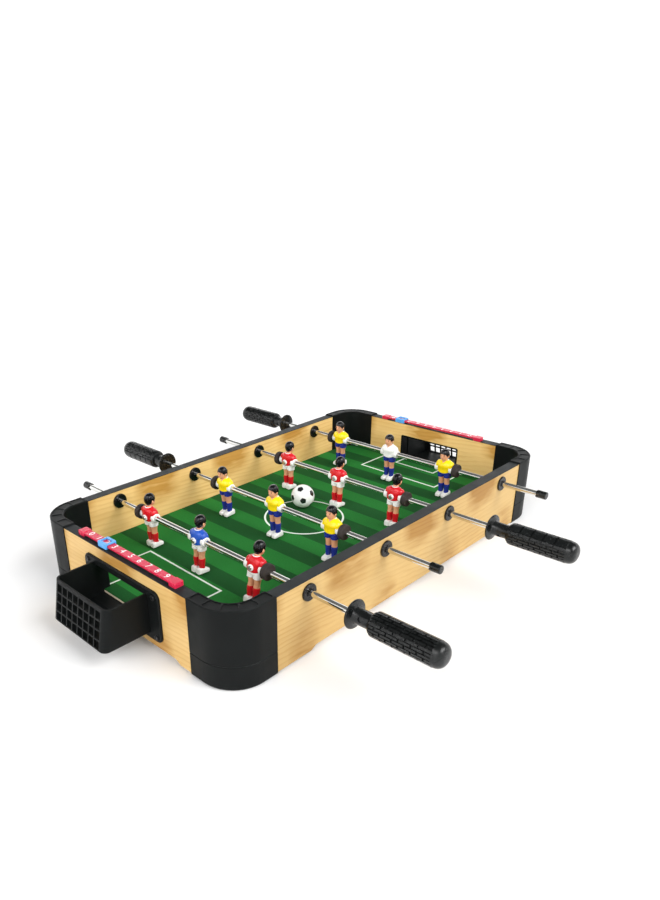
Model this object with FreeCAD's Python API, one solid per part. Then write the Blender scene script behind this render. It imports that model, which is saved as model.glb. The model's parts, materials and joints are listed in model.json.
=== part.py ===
import FreeCAD, Part
import math
import os

# A tabletop table-football game, in millimetres.
# X runs along the table, Y across it, Z up from the surface it stands on.
# Front is the long side at -Y, left is the short side at -X.

# Driving sizes of the table
TABLE_LENGTH = 508.0
TABLE_WIDTH = 298.0
TABLE_HEIGHT = 78.0

# Corner pieces: a rounded L in plan, a lower foot under an upper post
CORNER_SPAN = 52.5
CORNER_RADIUS = 36.0
CORNER_WALL = 14.0
SEAM_HEIGHT = 24.0
SEAM_REVEAL = 0.5
FOOT_EDGE_RADIUS = 3.0
POST_EDGE_CHAMFER = 0.9
PAD_DEPTH = 0.6
PAD_MARGIN = 1.9
PAD_RIB = 1.8
PAD_CORNER_RADIUS = 1.6
ARC_PADS = 3
LEDGE_REACH = 10.0
LEDGE_THICKNESS = 3.0
CORNER_SCREW_ANGLES = (18, 72)
CORNER_SCREW_RADIUS = 1.6
CORNER_SCREW_HOLE_RADIUS = 1.8
CORNER_SCREW_GRIP = 17.0
CORNER_SCREW_HEAD_RADIUS = 3.0
CORNER_SCREW_HEAD_HEIGHT = 2.2
COUNTERBORE_DEPTH = 8.0
COUNTERBORE_RADIUS = 3.6

# Wooden panels and their trims
PANEL_THICKNESS = 12.0
PANEL_SETBACK = 1.0
PANEL_BOTTOM = 2.0
ARCH_RISE = 3.5
ARCH_SLOPE = 6.0
SIDE_ARCH_HALF = 152.0
END_ARCH_HALF = 74.5
TRIM_THICKNESS = 0.6
TRIM_DROP = 1.5
TRIM_EDGE_RADIUS = 0.3
TONGUE_THICKNESS = 6.0
TONGUE_LENGTH = 8.0
TONGUE_CLEARANCE = 0.2

# Playfield: a board slid into grooves, with a printed sheet on top
BOARD_BOTTOM = 22.1
BOARD_THICKNESS = 3.5
SHEET_THICKNESS = 1.0
GROOVE_DEPTH = 4.0
BOARD_GAP = 0.3
MOUTH_TONGUE = 7.0

# Goals
MOUTH_HALF_WIDTH = 44.5
MOUTH_TOP = 60.0
MOUTH_RADIUS = 2.5
SLEEVE_WALL = 2.0
BASKET_WALL = 2.0
BASKET_HALF_WIDTH = 43.0
BASKET_BOTTOM = 19.0
BASKET_REACH = 44.2
BASKET_LEAN = 8.0
BASKET_CORNER_RADIUS = 7.5
BASKET_FLOOR_RADIUS = 2.5
LEDGE_RISE = 1.5
STEP_REACH = 10.0
FLANGE_HALF_WIDTH = 58.5
FLANGE_BOTTOM = 13.0
FLANGE_TOP = 65.0
FLANGE_THICKNESS = 2.5
FLANGE_RADIUS = 7.0
FLANGE_CHAMFER = 1.0
LATTICE_COLUMNS = 8
LATTICE_ROWS = 4
LATTICE_HALF_WIDTH = 36.0
LATTICE_MARGIN = 2.4
LATTICE_BAR = 1.6
GOAL_SCREW_Y = 52.0
GOAL_SCREW_ZS = (18.5, 59.5)
GOAL_SCREW_RADIUS = 1.2
GOAL_SCREW_HOLE_RADIUS = 1.4
GOAL_SCREW_DEPTH = 9.0
GOAL_SCREW_HEAD_RADIUS = 2.5
GOAL_SCREW_HEAD_HEIGHT = 1.4
GOAL_SCREW_EDGE_RADIUS = 0.5
CROSS_REACH = 1.4
CROSS_HALF_WIDTH = 0.3
CROSS_DEPTH = 0.6
CROSS_ARMS = (CROSS_REACH, CROSS_HALF_WIDTH)

# Rods, in order from the left
ROD_SPACING = 108.0
ROD_HEIGHT = 64.4
ROD_RADIUS = 3.0
ROD_END_CHAMFER = 0.4
ROD_SHIFTS = (-2.0, -1.0, 1.3, 6.0)
HANDLE_SIDES = (-1, 1, -1, 1)
FACINGS = (1, -1, 1, -1)
RUNNING_CLEARANCE = 0.08
RUBBER_CLEARANCE = 0.05
FIXED_FIT = 0.02

# Bushes in the side panels
BUSH_FLANGE_RADIUS = 8.3
BUSH_FLANGE_THICKNESS = 2.0
BUSH_BARREL_RADIUS = 5.0
BUSH_BARREL_PROUD = 0.6
BUSH_HOLE_RADIUS = 5.1
BUSH_DISH_RADIUS = 4.6
BUSH_DISH_DEPTH = 1.2
BUSH_FLANGE_EDGE = 0.9
BUSH_RING_EDGE = 0.7

# Rubber bumpers
BUMPER_RADIUS = 8.0
BUMPER_WIDTH = 5.5
BUMPER_CENTRE = 96.2
BUMPER_EDGE_RADIUS = 0.8

# Handles, one start for each rod measured from the rod's middle, then lengths from that start
HANDLE_STARTS = (194.5, 190.0, 197.8, 183.0)
HANDLE_FLANGE_RADIUS = 13.0
HANDLE_FLANGE_THICKNESS = 3.0
HANDLE_FLANGE_EDGE = 0.8
HANDLE_NECK_RADIUS = 7.0
HANDLE_NECK_FLARE = 1.0
HANDLE_NECK_LENGTH = 19.5
HANDLE_SHOULDER_LENGTH = 3.0
HANDLE_SHOULDER_ROUNDING = 2.0
HANDLE_SHOULDER_DROP = 0.6
HANDLE_GRIP_RADIUS = 11.0
HANDLE_LENGTH = 87.0
HANDLE_TIP_RADIUS = 6.0
HANDLE_ROD_DEPTH = 64.0
HANDLE_BORE_SPARE = 1.5
HANDLE_GROOVES = 18
HANDLE_GROOVE_WIDTH = 1.0
HANDLE_GROOVE_DEPTH = 0.8
HANDLE_SCREW_PLACE = 11.5
HANDLE_SCREW_SEAT = 4.5
HANDLE_SCREW_TURNS = (-71, -41, -133, -101)

# End caps, measured along the rod from its middle
END_CAP_START = 197.0
END_CAP_END = 208.0
END_CAP_RADIUS = 4.2
END_CAP_EDGE = 0.9
END_CAP_WALL = 2.0
END_CAP_SLOT_WIDTH = 1.2
END_CAP_SLOT_LENGTH = 4.0

# Players, measured from the rod's axis and facing +X
PLAYER_SPACING = 81.0
PLAYER_PLACES = ("front", "middle", "back")
PLAYER_TILTS = ((10, 3, -3), (2, 0, -3), (4, 3, 0), (-2, 0, 0))
PLAYER_HEAD_TOP = 25.0
PLAYER_HEAD_FORWARD = 2.6
PLAYER_HEAD_HALF = (6.3, 5.7, 7.4)
PLAYER_NECK_RADIUS = 2.9
PLAYER_NECK_START = 9.0
PLAYER_NECK_LENGTH = 5.0
PLAYER_NECK_FORWARD = 1.2
PLAYER_FOOT_BOTTOM = -36.0
PLAYER_SHOE_TOP = -30.5
PLAYER_SHOE_HEEL = -5.5
PLAYER_SHOE_TOE = 8.2
PLAYER_SHOE_HALF = 7.2
PLAYER_SHOE_CORNER = 1.6
PLAYER_SPLIT_START = 3.4
PLAYER_SPLIT_HALF = 1.3
PLAYER_LEG_RADII = (2.9, 3.7)
PLAYER_LEG_LENGTH = 17.0
PLAYER_LEG_FORWARD = 0.2
PLAYER_LEG_APART = 3.9
PLAYER_LEG_BOTTOM = -32.0
PLAYER_SECTIONS = (
    # half depth, half width, forward shift, height
    (4.6, 8.0, 0.3, -17.5),
    (4.9, 8.4, 0.2, -12.0),
    (5.2, 8.2, 0.0, -8.0),
    (6.4, 9.0, 0.2, -1.0),
    (6.6, 10.4, 0.3, 5.0),
    (4.8, 9.6, -0.2, 9.0),
    (3.2, 5.0, -0.3, 11.0),
)
PLAYER_BOSS_HALF = 12.0
PLAYER_BOSS_RADIUS = 5.2
PLAYER_BACK = -7.6
PLAYER_ROUNDNESS = 0.42
PLAYER_SCREW_END = 4.6
SCREW_RADIUS = 1.0
SCREW_HOLE_RADIUS = 1.05
SCREW_HEAD_RADIUS = 2.3
SCREW_HEAD_HEIGHT = 1.2
SCREW_HEAD_EDGE = 0.5
SCREW_BOSS_WALL = 0.9
SCREW_BOSS_DEPTH = 4.0

# Score keeping
SCORE_RAIL_HALF = 76.0
SCORE_RAIL_SHIFT_X = -2.0
SCORE_RAIL_SHIFT_Y = 2.0
SCORE_BAR_HALF = 4.0
SCORE_BAR_THICKNESS = 2.0
SCORE_BAR_TOP = 80.4
SCORE_BLOCK_LENGTH = 9.5
SCORE_BLOCK_HALF = 4.8
SCORE_BLOCK_TOP = 81.0
SCORE_BLOCK_CORNER = 1.0
SCORE_BLOCK_EDGE = 0.6
SCORE_PITCH = 13.1
SCORE_MIDDLE_DIGIT = 4.5
SCORE_REST_DIGITS = {"left": 2, "right": 8}
SLIDER_LENGTH = 14.0
SLIDER_TOP = 82.2
SLIDER_WALL = 1.8
SLIDER_CORNER = 1.2
SLIDER_EDGE = 0.5
SLIDER_GAP = 0.35
SLIDER_LIP = 1.0
SLIDER_LIP_REACH = 1.2
SLIDER_WINDOW_HALF_X = 3.3
SLIDER_WINDOW_HALF_Y = 5.1

# Ball
BALL_RADIUS = 14.0
BALL_X = 24.5
BALL_Y = 30.7
BALL_LIFT = 0.1

# Worked-out places
HALF_LENGTH = TABLE_LENGTH / 2
HALF_WIDTH = TABLE_WIDTH / 2
TRIM_TOP = TABLE_HEIGHT - TRIM_DROP
PANEL_TOP = TRIM_TOP - TRIM_THICKNESS
END_PANEL_OUTER = HALF_LENGTH - PANEL_SETBACK
END_PANEL_INNER = END_PANEL_OUTER - PANEL_THICKNESS
SIDE_PANEL_OUTER = HALF_WIDTH - PANEL_SETBACK
SIDE_PANEL_INNER = SIDE_PANEL_OUTER - PANEL_THICKNESS
SIDE_PANEL_HALF = HALF_LENGTH - CORNER_SPAN
END_PANEL_HALF = HALF_WIDTH - CORNER_SPAN
ARC_X = HALF_LENGTH - CORNER_RADIUS
ARC_Y = HALF_WIDTH - CORNER_RADIUS
ARC_MIDDLE_RADIUS = CORNER_RADIUS - CORNER_WALL / 2
BOARD_TOP = BOARD_BOTTOM + BOARD_THICKNESS
FIELD_TOP = BOARD_TOP + SHEET_THICKNESS
ROD_XS = [(index - 1.5) * ROD_SPACING for index in range(4)]
PLAYER_YS = (-PLAYER_SPACING, 0.0, PLAYER_SPACING)
CORNERS = {
    "front_left": (-1, -1),
    "front_right": (1, -1),
    "back_left": (-1, 1),
    "back_right": (1, 1),
}

X_AXIS = FreeCAD.Vector(1, 0, 0)
Y_AXIS = FreeCAD.Vector(0, 1, 0)
Z_AXIS = FreeCAD.Vector(0, 0, 1)
ORIGIN = FreeCAD.Vector(0, 0, 0)
TINY = 1e-6


def point(x, y, z=0.0):
    return FreeCAD.Vector(x, y, z)


def box(low, high):
    """A box between two opposite corners."""
    size = [b - a for a, b in zip(low, high)]
    return Part.makeBox(size[0], size[1], size[2], point(*low))


def cylinder(radius, start, axis, length):
    return Part.makeCylinder(radius, length, start, axis)


def prism(outline, extrusion):
    """A solid from a closed list of corner points and a direction."""
    wire = Part.makePolygon(outline + [outline[0]])
    return Part.Face(wire).extrude(extrusion)


def fillet_where(shape, radius, test):
    """Round the edges whose centre passes the test."""
    chosen = [edge for edge in shape.Edges if test(edge)]
    return shape.makeFillet(radius, chosen)


def is_vertical(edge):
    return abs(abs(edge.tangentAt(edge.FirstParameter).z) - 1) < TINY


def rounded_box(low, high, radius):
    """A box whose vertical edges are rounded."""
    return fillet_where(box(low, high), radius, is_vertical)


def mirrored_x(shape):
    return shape.mirror(ORIGIN, X_AXIS)


def mirrored_y(shape):
    return shape.mirror(ORIGIN, Y_AXIS)


def to_corner(shape, signs):
    """Carry a shape made in the back right corner to another corner."""
    if signs[0] < 0:
        shape = mirrored_x(shape)
    if signs[1] < 0:
        shape = mirrored_y(shape)
    return shape


def save(name, shape):
    """Write one node, checked to be closed and valid."""
    for solid in shape.Solids:
        assert solid.isValid() and solid.isClosed(), name
    assert shape.Solids, name
    shape.exportStep("parts/" + name + ".step")


# ---------------------------------------------------------------- corners

def corner_arc(radius):
    """A quarter circle about the corner's centre, from its +Y end to its +X end."""
    diagonal = radius * math.sqrt(0.5)
    arc = Part.Arc(
        point(ARC_X, ARC_Y + radius),
        point(ARC_X + diagonal, ARC_Y + diagonal),
        point(ARC_X + radius, ARC_Y),
    )
    return arc.toShape()


def corner_outline():
    """The rounded L in plan."""
    outer = CORNER_RADIUS
    inner = CORNER_RADIUS - CORNER_WALL
    end_x = SIDE_PANEL_HALF
    end_y = END_PANEL_HALF
    edges = [
        Part.makeLine(point(end_x, ARC_Y + outer), point(ARC_X, ARC_Y + outer)),
        corner_arc(outer),
        Part.makeLine(point(ARC_X + outer, ARC_Y), point(ARC_X + outer, end_y)),
        Part.makeLine(point(ARC_X + outer, end_y), point(ARC_X + inner, end_y)),
        Part.makeLine(point(ARC_X + inner, end_y), point(ARC_X + inner, ARC_Y)),
        corner_arc(inner),
        Part.makeLine(point(ARC_X, ARC_Y + inner), point(end_x, ARC_Y + inner)),
        Part.makeLine(point(end_x, ARC_Y + inner), point(end_x, ARC_Y + outer)),
    ]
    return Part.Wire(edges)


def corner_prism(bottom, top):
    solid = Part.Face(corner_outline()).extrude(point(0, 0, top - bottom))
    solid.translate(point(0, 0, bottom))
    return solid


def tongue_slots(bottom, top):
    """Slots in a corner piece that take the tongues of the two panels beside it."""
    half = TONGUE_THICKNESS / 2 + TONGUE_CLEARANCE
    reach = TONGUE_LENGTH + TONGUE_CLEARANCE
    side_middle = SIDE_PANEL_OUTER - PANEL_THICKNESS / 2
    end_middle = END_PANEL_OUTER - PANEL_THICKNESS / 2
    side_slot = box(
        (SIDE_PANEL_HALF - 1, side_middle - half, bottom),
        (SIDE_PANEL_HALF + reach, side_middle + half, top),
    )
    end_slot = box(
        (end_middle - half, END_PANEL_HALF - 1, bottom),
        (end_middle + half, END_PANEL_HALF + reach, top),
    )
    return [side_slot, end_slot]


def corner_screw_spots():
    """Where the two screws of a corner stand, in plan."""
    spots = []
    for angle in CORNER_SCREW_ANGLES:
        turn = math.radians(angle)
        x = ARC_X + ARC_MIDDLE_RADIUS * math.cos(turn)
        y = ARC_Y + ARC_MIDDLE_RADIUS * math.sin(turn)
        spots.append((x, y))
    return spots


def arc_pad(start, end):
    """A shallow pad in the post's top between two angles of its arc."""
    outer = CORNER_RADIUS - PAD_MARGIN
    inner = CORNER_RADIUS - CORNER_WALL + PAD_MARGIN
    centre = point(ARC_X, ARC_Y, TABLE_HEIGHT - PAD_DEPTH)
    height = 2 * PAD_DEPTH
    sweep = end - start
    full = Part.makeCylinder(outer, height, centre, Z_AXIS, sweep)
    core = Part.makeCylinder(inner, height, centre, Z_AXIS, sweep)
    pad = full.cut(core)
    pad.rotate(centre, Z_AXIS, start)
    return fillet_where(pad, PAD_CORNER_RADIUS, is_vertical)


def straight_pads():
    """The two shallow pads on the post's short straight ends."""
    bottom = TABLE_HEIGHT - PAD_DEPTH
    top = TABLE_HEIGHT + PAD_DEPTH
    inner = CORNER_WALL - PAD_MARGIN
    along_x = rounded_box(
        (SIDE_PANEL_HALF + PAD_MARGIN, HALF_WIDTH - inner, bottom),
        (ARC_X - PAD_RIB / 2, HALF_WIDTH - PAD_MARGIN, top),
        PAD_CORNER_RADIUS,
    )
    along_y = rounded_box(
        (HALF_LENGTH - inner, END_PANEL_HALF + PAD_MARGIN, bottom),
        (HALF_LENGTH - PAD_MARGIN, ARC_Y - PAD_RIB / 2, top),
        PAD_CORNER_RADIUS,
    )
    return [along_x, along_y]


def top_pads():
    pads = straight_pads()
    rib_angle = math.degrees(PAD_RIB / 2 / ARC_MIDDLE_RADIUS)
    step = 90 / ARC_PADS
    for index in range(ARC_PADS):
        pads.append(arc_pad(step * index + rib_angle, step * (index + 1) - rib_angle))
    return pads


def is_outer_edge(edge):
    """True for the three edges of the L's outer face."""
    middle = edge.valueAt((edge.FirstParameter + edge.LastParameter) / 2)
    on_side = abs(middle.y - HALF_WIDTH) < TINY
    on_end = abs(middle.x - HALF_LENGTH) < TINY
    off_arc = math.hypot(middle.x - ARC_X, middle.y - ARC_Y) - CORNER_RADIUS
    on_arc = middle.x > ARC_X and middle.y > ARC_Y and abs(off_arc) < TINY
    return on_side or on_end or on_arc


def outer_edges_at(solid, height):
    level = [edge for edge in solid.Edges if abs(edge.CenterOfMass.z - height) < TINY]
    return [edge for edge in level if is_outer_edge(edge)]


def corner_post():
    """The upper part of a corner, made in the back right corner."""
    solid = corner_prism(SEAM_HEIGHT, TABLE_HEIGHT)
    rim = [edge for edge in solid.Edges if abs(edge.CenterOfMass.z - TABLE_HEIGHT) < TINY]
    solid = solid.makeChamfer(POST_EDGE_CHAMFER, rim)
    solid = solid.makeChamfer(SEAM_REVEAL, outer_edges_at(solid, SEAM_HEIGHT))
    cuts = tongue_slots(SEAM_HEIGHT - 1, PANEL_TOP + TONGUE_CLEARANCE) + top_pads()
    for x, y in corner_screw_spots():
        base = point(x, y, SEAM_HEIGHT - 1)
        cuts.append(cylinder(CORNER_SCREW_RADIUS, base, Z_AXIS, CORNER_SCREW_GRIP + 2))
    return solid.cut(cuts)


def board_ledge():
    """The shelf inside a foot that the playfield board rests on."""
    bottom = BOARD_BOTTOM - LEDGE_THICKNESS
    inner = CORNER_RADIUS - CORNER_WALL
    overlap = CORNER_WALL / 4
    shelf = box(
        (SIDE_PANEL_HALF, END_PANEL_HALF, bottom),
        (ARC_X + inner + overlap, ARC_Y + inner + overlap, BOARD_BOTTOM),
    )
    open_area = rounded_box(
        (SIDE_PANEL_HALF - CORNER_SPAN, END_PANEL_HALF - CORNER_SPAN, bottom - 1),
        (ARC_X + inner - LEDGE_REACH, ARC_Y + inner - LEDGE_REACH, BOARD_BOTTOM + 1),
        inner - LEDGE_REACH,
    )
    sharp = box((ARC_X, ARC_Y, bottom - 1), (HALF_LENGTH, HALF_WIDTH, BOARD_BOTTOM + 1))
    disc = cylinder(inner + overlap, point(ARC_X, ARC_Y, bottom - 2), Z_AXIS, LEDGE_THICKNESS + 4)
    return shelf.cut([open_area, sharp.cut(disc)])


def corner_foot():
    """The lower part of a corner, made in the back right corner."""
    solid = corner_prism(0, SEAM_HEIGHT)
    solid = solid.makeFillet(FOOT_EDGE_RADIUS, outer_edges_at(solid, 0))
    solid = solid.makeChamfer(SEAM_REVEAL, outer_edges_at(solid, SEAM_HEIGHT))
    solid = solid.fuse(board_ledge()).removeSplitter()
    cuts = tongue_slots(PANEL_BOTTOM - TONGUE_CLEARANCE, SEAM_HEIGHT + 1)
    for x, y in corner_screw_spots():
        base = point(x, y, -1)
        cuts.append(cylinder(CORNER_SCREW_HOLE_RADIUS, base, Z_AXIS, SEAM_HEIGHT + 2))
        cuts.append(cylinder(COUNTERBORE_RADIUS, base, Z_AXIS, COUNTERBORE_DEPTH + 1))
    return solid.cut(cuts)


def corner_screws():
    """Two screws up through each foot into its post."""
    screws = []
    shank_length = SEAM_HEIGHT + CORNER_SCREW_GRIP - COUNTERBORE_DEPTH
    for signs in CORNERS.values():
        for x, y in corner_screw_spots():
            seat = point(signs[0] * x, signs[1] * y, COUNTERBORE_DEPTH)
            head = cylinder(CORNER_SCREW_HEAD_RADIUS, seat, -Z_AXIS, CORNER_SCREW_HEAD_HEIGHT)
            shank = cylinder(CORNER_SCREW_RADIUS, seat, Z_AXIS, shank_length)
            screws.append(head.fuse(shank))
    return Part.makeCompound(screws)


# ---------------------------------------------------------------- panels and trims

def panel_outline(half, arch_half):
    """A panel seen from its face: along it, then up, with the shallow arch below."""
    return [
        (-half, PANEL_TOP),
        (-half, PANEL_BOTTOM),
        (-arch_half - ARCH_SLOPE, PANEL_BOTTOM),
        (-arch_half, PANEL_BOTTOM + ARCH_RISE),
        (arch_half, PANEL_BOTTOM + ARCH_RISE),
        (arch_half + ARCH_SLOPE, PANEL_BOTTOM),
        (half, PANEL_BOTTOM),
        (half, PANEL_TOP),
    ]


def side_panel():
    """The long panel at the back, with its tongues, board groove and bush holes."""
    middle = SIDE_PANEL_OUTER - PANEL_THICKNESS / 2
    outline = panel_outline(SIDE_PANEL_HALF, SIDE_ARCH_HALF)
    corners = [point(along, SIDE_PANEL_INNER, up) for along, up in outline]
    panel = prism(corners, point(0, PANEL_THICKNESS, 0))
    reach = SIDE_PANEL_HALF + TONGUE_LENGTH
    tongues = []
    for low, high in ((-reach, -SIDE_PANEL_HALF), (SIDE_PANEL_HALF, reach)):
        tongues.append(box(
            (low, middle - TONGUE_THICKNESS / 2, PANEL_BOTTOM),
            (high, middle + TONGUE_THICKNESS / 2, PANEL_TOP),
        ))
    cuts = [box(
        (-reach - 1, SIDE_PANEL_INNER - 1, BOARD_BOTTOM),
        (reach + 1, SIDE_PANEL_INNER + GROOVE_DEPTH, BOARD_TOP),
    )]
    for x in ROD_XS:
        start = point(x, SIDE_PANEL_INNER - 1, ROD_HEIGHT)
        cuts.append(cylinder(BUSH_HOLE_RADIUS, start, Y_AXIS, PANEL_THICKNESS + 2))
    return panel.fuse(tongues).cut(cuts).removeSplitter()


def mouth_block(low_x, high_x, inset):
    """The goal mouth's shape as a block, smaller at the top and sides by inset."""
    half = MOUTH_HALF_WIDTH - inset
    top = MOUTH_TOP - inset
    block = box((low_x, -half, BOARD_BOTTOM), (high_x, half, top))
    upper = [
        edge for edge in block.Edges
        if abs(edge.Length - (high_x - low_x)) < TINY and edge.CenterOfMass.z > top - 1
    ]
    return block.makeFillet(MOUTH_RADIUS, upper)


def end_panel():
    """The short panel at the right, with its tongues, board groove and goal mouth."""
    middle = END_PANEL_OUTER - PANEL_THICKNESS / 2
    outline = panel_outline(END_PANEL_HALF, END_ARCH_HALF)
    corners = [point(END_PANEL_INNER, along, up) for along, up in outline]
    panel = prism(corners, point(PANEL_THICKNESS, 0, 0))
    reach = END_PANEL_HALF + TONGUE_LENGTH
    tongues = []
    for low, high in ((-reach, -END_PANEL_HALF), (END_PANEL_HALF, reach)):
        tongues.append(box(
            (middle - TONGUE_THICKNESS / 2, low, PANEL_BOTTOM),
            (middle + TONGUE_THICKNESS / 2, high, PANEL_TOP),
        ))
    groove = box(
        (END_PANEL_INNER - 1, -reach - 1, BOARD_BOTTOM),
        (END_PANEL_INNER + GROOVE_DEPTH, reach + 1, BOARD_TOP),
    )
    cuts = [groove, mouth_block(END_PANEL_INNER - 1, END_PANEL_OUTER + 1, 0)]
    for y, z in goal_screw_spots():
        start = point(END_PANEL_OUTER + 1, y, z)
        cuts.append(cylinder(GOAL_SCREW_RADIUS, start, -X_AXIS, GOAL_SCREW_DEPTH + 1.5))
    return panel.fuse(tongues).cut(cuts).removeSplitter()


def trim_strip(low, high):
    """A flat strip with its long top edges rounded."""
    long_side = max(high[0] - low[0], high[1] - low[1])

    def is_long_top(edge):
        return edge.CenterOfMass.z > high[2] - TINY and abs(edge.Length - long_side) < TINY

    return fillet_where(box(low, high), TRIM_EDGE_RADIUS, is_long_top)


def side_trim():
    return trim_strip(
        (-SIDE_PANEL_HALF, SIDE_PANEL_INNER, PANEL_TOP),
        (SIDE_PANEL_HALF, SIDE_PANEL_OUTER, TRIM_TOP),
    )


def end_trim():
    return trim_strip(
        (END_PANEL_INNER, -END_PANEL_HALF, PANEL_TOP),
        (END_PANEL_OUTER, END_PANEL_HALF, TRIM_TOP),
    )


# ---------------------------------------------------------------- playfield

def corner_clearances(bottom, top):
    """What the corner pieces take out of the board and the sheet."""
    inner = CORNER_RADIUS - CORNER_WALL - BOARD_GAP
    low = bottom - 1
    high = top + 1
    start_x = SIDE_PANEL_HALF - BOARD_GAP
    start_y = END_PANEL_HALF - BOARD_GAP
    beside_end = box((ARC_X + inner, start_y, low), (HALF_LENGTH, HALF_WIDTH, high))
    beside_side = box((start_x, ARC_Y + inner, low), (HALF_LENGTH, HALF_WIDTH, high))
    disc = cylinder(inner, point(ARC_X, ARC_Y, low - 1), Z_AXIS, high - low + 2)
    rounding = box((ARC_X, ARC_Y, low), (HALF_LENGTH, HALF_WIDTH, high)).cut(disc)
    block = beside_end.fuse([beside_side, rounding])
    return [to_corner(block, signs) for signs in CORNERS.values()]


def mouth_tongues(bottom, top):
    """The strip of board that runs out through both goal mouths."""
    half = MOUTH_HALF_WIDTH - SLEEVE_WALL - BOARD_GAP
    reach = END_PANEL_INNER + MOUTH_TONGUE
    return box((-reach, -half, bottom), (reach, half, top))


def sleeve_notches(bottom, top):
    """What the board leaves clear for the sides of the two mouth sleeves."""
    inner = MOUTH_HALF_WIDTH - SLEEVE_WALL - BOARD_GAP
    outer = MOUTH_HALF_WIDTH + BOARD_GAP
    start = END_PANEL_INNER - BOARD_GAP
    notch = box((start, inner, bottom - 1), (END_PANEL_OUTER, outer, top + 1))
    return [to_corner(notch, signs) for signs in CORNERS.values()]


def playfield_layer(spread, bottom, top):
    """A layer of the playfield that reaches past the panels' inner faces by spread."""
    layer = box(
        (-END_PANEL_INNER - spread, -SIDE_PANEL_INNER - spread, bottom),
        (END_PANEL_INNER + spread, SIDE_PANEL_INNER + spread, top),
    )
    layer = layer.cut(corner_clearances(bottom, top) + sleeve_notches(bottom, top))
    return layer.fuse(mouth_tongues(bottom, top)).removeSplitter()


# ---------------------------------------------------------------- goals, made at the right end

def goal_screw_spots():
    return [(side * GOAL_SCREW_Y, height) for side in (-1, 1) for height in GOAL_SCREW_ZS]


def basket_flange():
    """The plate that lies on the end panel around the mouth."""
    outer_face = END_PANEL_OUTER + FLANGE_THICKNESS
    plate = box(
        (END_PANEL_OUTER, -FLANGE_HALF_WIDTH, FLANGE_BOTTOM),
        (outer_face, FLANGE_HALF_WIDTH, FLANGE_TOP),
    )
    corners = [edge for edge in plate.Edges if abs(edge.Length - FLANGE_THICKNESS) < TINY]
    plate = plate.makeFillet(FLANGE_RADIUS, corners)
    rim = [edge for edge in plate.Edges if abs(edge.CenterOfMass.x - outer_face) < TINY]
    plate = plate.makeChamfer(FLANGE_CHAMFER, rim)
    return plate.cut(mouth_block(END_PANEL_OUTER - 1, outer_face + 1, SLEEVE_WALL))


def basket_block(inset, bottom, top):
    """The basket's form, its front leaning out towards the bottom."""
    near = END_PANEL_OUTER + FLANGE_THICKNESS / 2
    lean = BASKET_LEAN / (MOUTH_TOP - BASKET_BOTTOM)
    front_at_top = END_PANEL_OUTER + BASKET_REACH - inset - (top - MOUTH_TOP) * lean
    front_at_bottom = front_at_top + (top - bottom) * lean
    half = BASKET_HALF_WIDTH - inset
    outline = [
        point(near, -half, bottom),
        point(front_at_bottom, -half, bottom),
        point(front_at_top, -half, top),
        point(near, -half, top),
    ]
    block = prism(outline, point(0, 2 * half, 0))
    front = [
        edge for edge in block.Edges
        if edge.BoundBox.ZLength > 5 and edge.BoundBox.XMin > near + 5
    ]
    return block.makeFillet(BASKET_CORNER_RADIUS - inset, front)


def basket_shell():
    outer = basket_block(0, BASKET_BOTTOM, MOUTH_TOP)
    underside = [
        edge for edge in outer.Edges
        if edge.BoundBox.ZMax < BASKET_BOTTOM + TINY and edge.BoundBox.XMax > END_PANEL_OUTER + 10
    ]
    outer = outer.makeFillet(BASKET_FLOOR_RADIUS, underside)
    return outer.cut(basket_block(BASKET_WALL, BASKET_BOTTOM + BASKET_WALL, MOUTH_TOP + 10))


def mouth_sleeve():
    """The collar that lines the mouth's top and sides through the panel."""
    outer_face = END_PANEL_OUTER + FLANGE_THICKNESS
    outer = mouth_block(END_PANEL_INNER, outer_face, 0)
    return outer.cut(mouth_block(END_PANEL_INNER - 1, outer_face + 1, SLEEVE_WALL))


def basket_ledge():
    """The step outside the mouth that the ball rolls over before it drops."""
    start = END_PANEL_INNER + MOUTH_TONGUE + BOARD_GAP
    top = BOARD_BOTTOM + LEDGE_RISE
    half = MOUTH_HALF_WIDTH - SLEEVE_WALL / 2
    sill = box((start, -half, BOARD_BOTTOM), (END_PANEL_OUTER + FLANGE_THICKNESS, half, top))
    inside = BASKET_HALF_WIDTH - BASKET_WALL / 2
    floor = BASKET_BOTTOM + BASKET_WALL / 2
    outline = [
        point(END_PANEL_OUTER + FLANGE_THICKNESS / 2, -inside, floor),
        point(END_PANEL_OUTER + STEP_REACH + (top - floor), -inside, floor),
        point(END_PANEL_OUTER + STEP_REACH, -inside, top),
        point(END_PANEL_OUTER + FLANGE_THICKNESS / 2, -inside, top),
    ]
    return sill.fuse(prism(outline, point(0, 2 * inside, 0)))


def lattice_holes():
    """The square holes of the basket's front."""
    bottom = BASKET_BOTTOM + LATTICE_MARGIN
    pitch_y = 2 * LATTICE_HALF_WIDTH / LATTICE_COLUMNS
    pitch_z = (MOUTH_TOP - LATTICE_MARGIN - bottom) / LATTICE_ROWS
    near = END_PANEL_OUTER + BASKET_REACH - 3 * BASKET_WALL
    far = END_PANEL_OUTER + BASKET_REACH + BASKET_LEAN + BASKET_WALL
    holes = []
    for column in range(LATTICE_COLUMNS):
        low_y = -LATTICE_HALF_WIDTH + column * pitch_y + LATTICE_BAR / 2
        high_y = low_y + pitch_y - LATTICE_BAR
        for row in range(LATTICE_ROWS):
            low_z = bottom + row * pitch_z + LATTICE_BAR / 2
            holes.append(box((near, low_y, low_z), (far, high_y, low_z + pitch_z - LATTICE_BAR)))
    return holes


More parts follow.
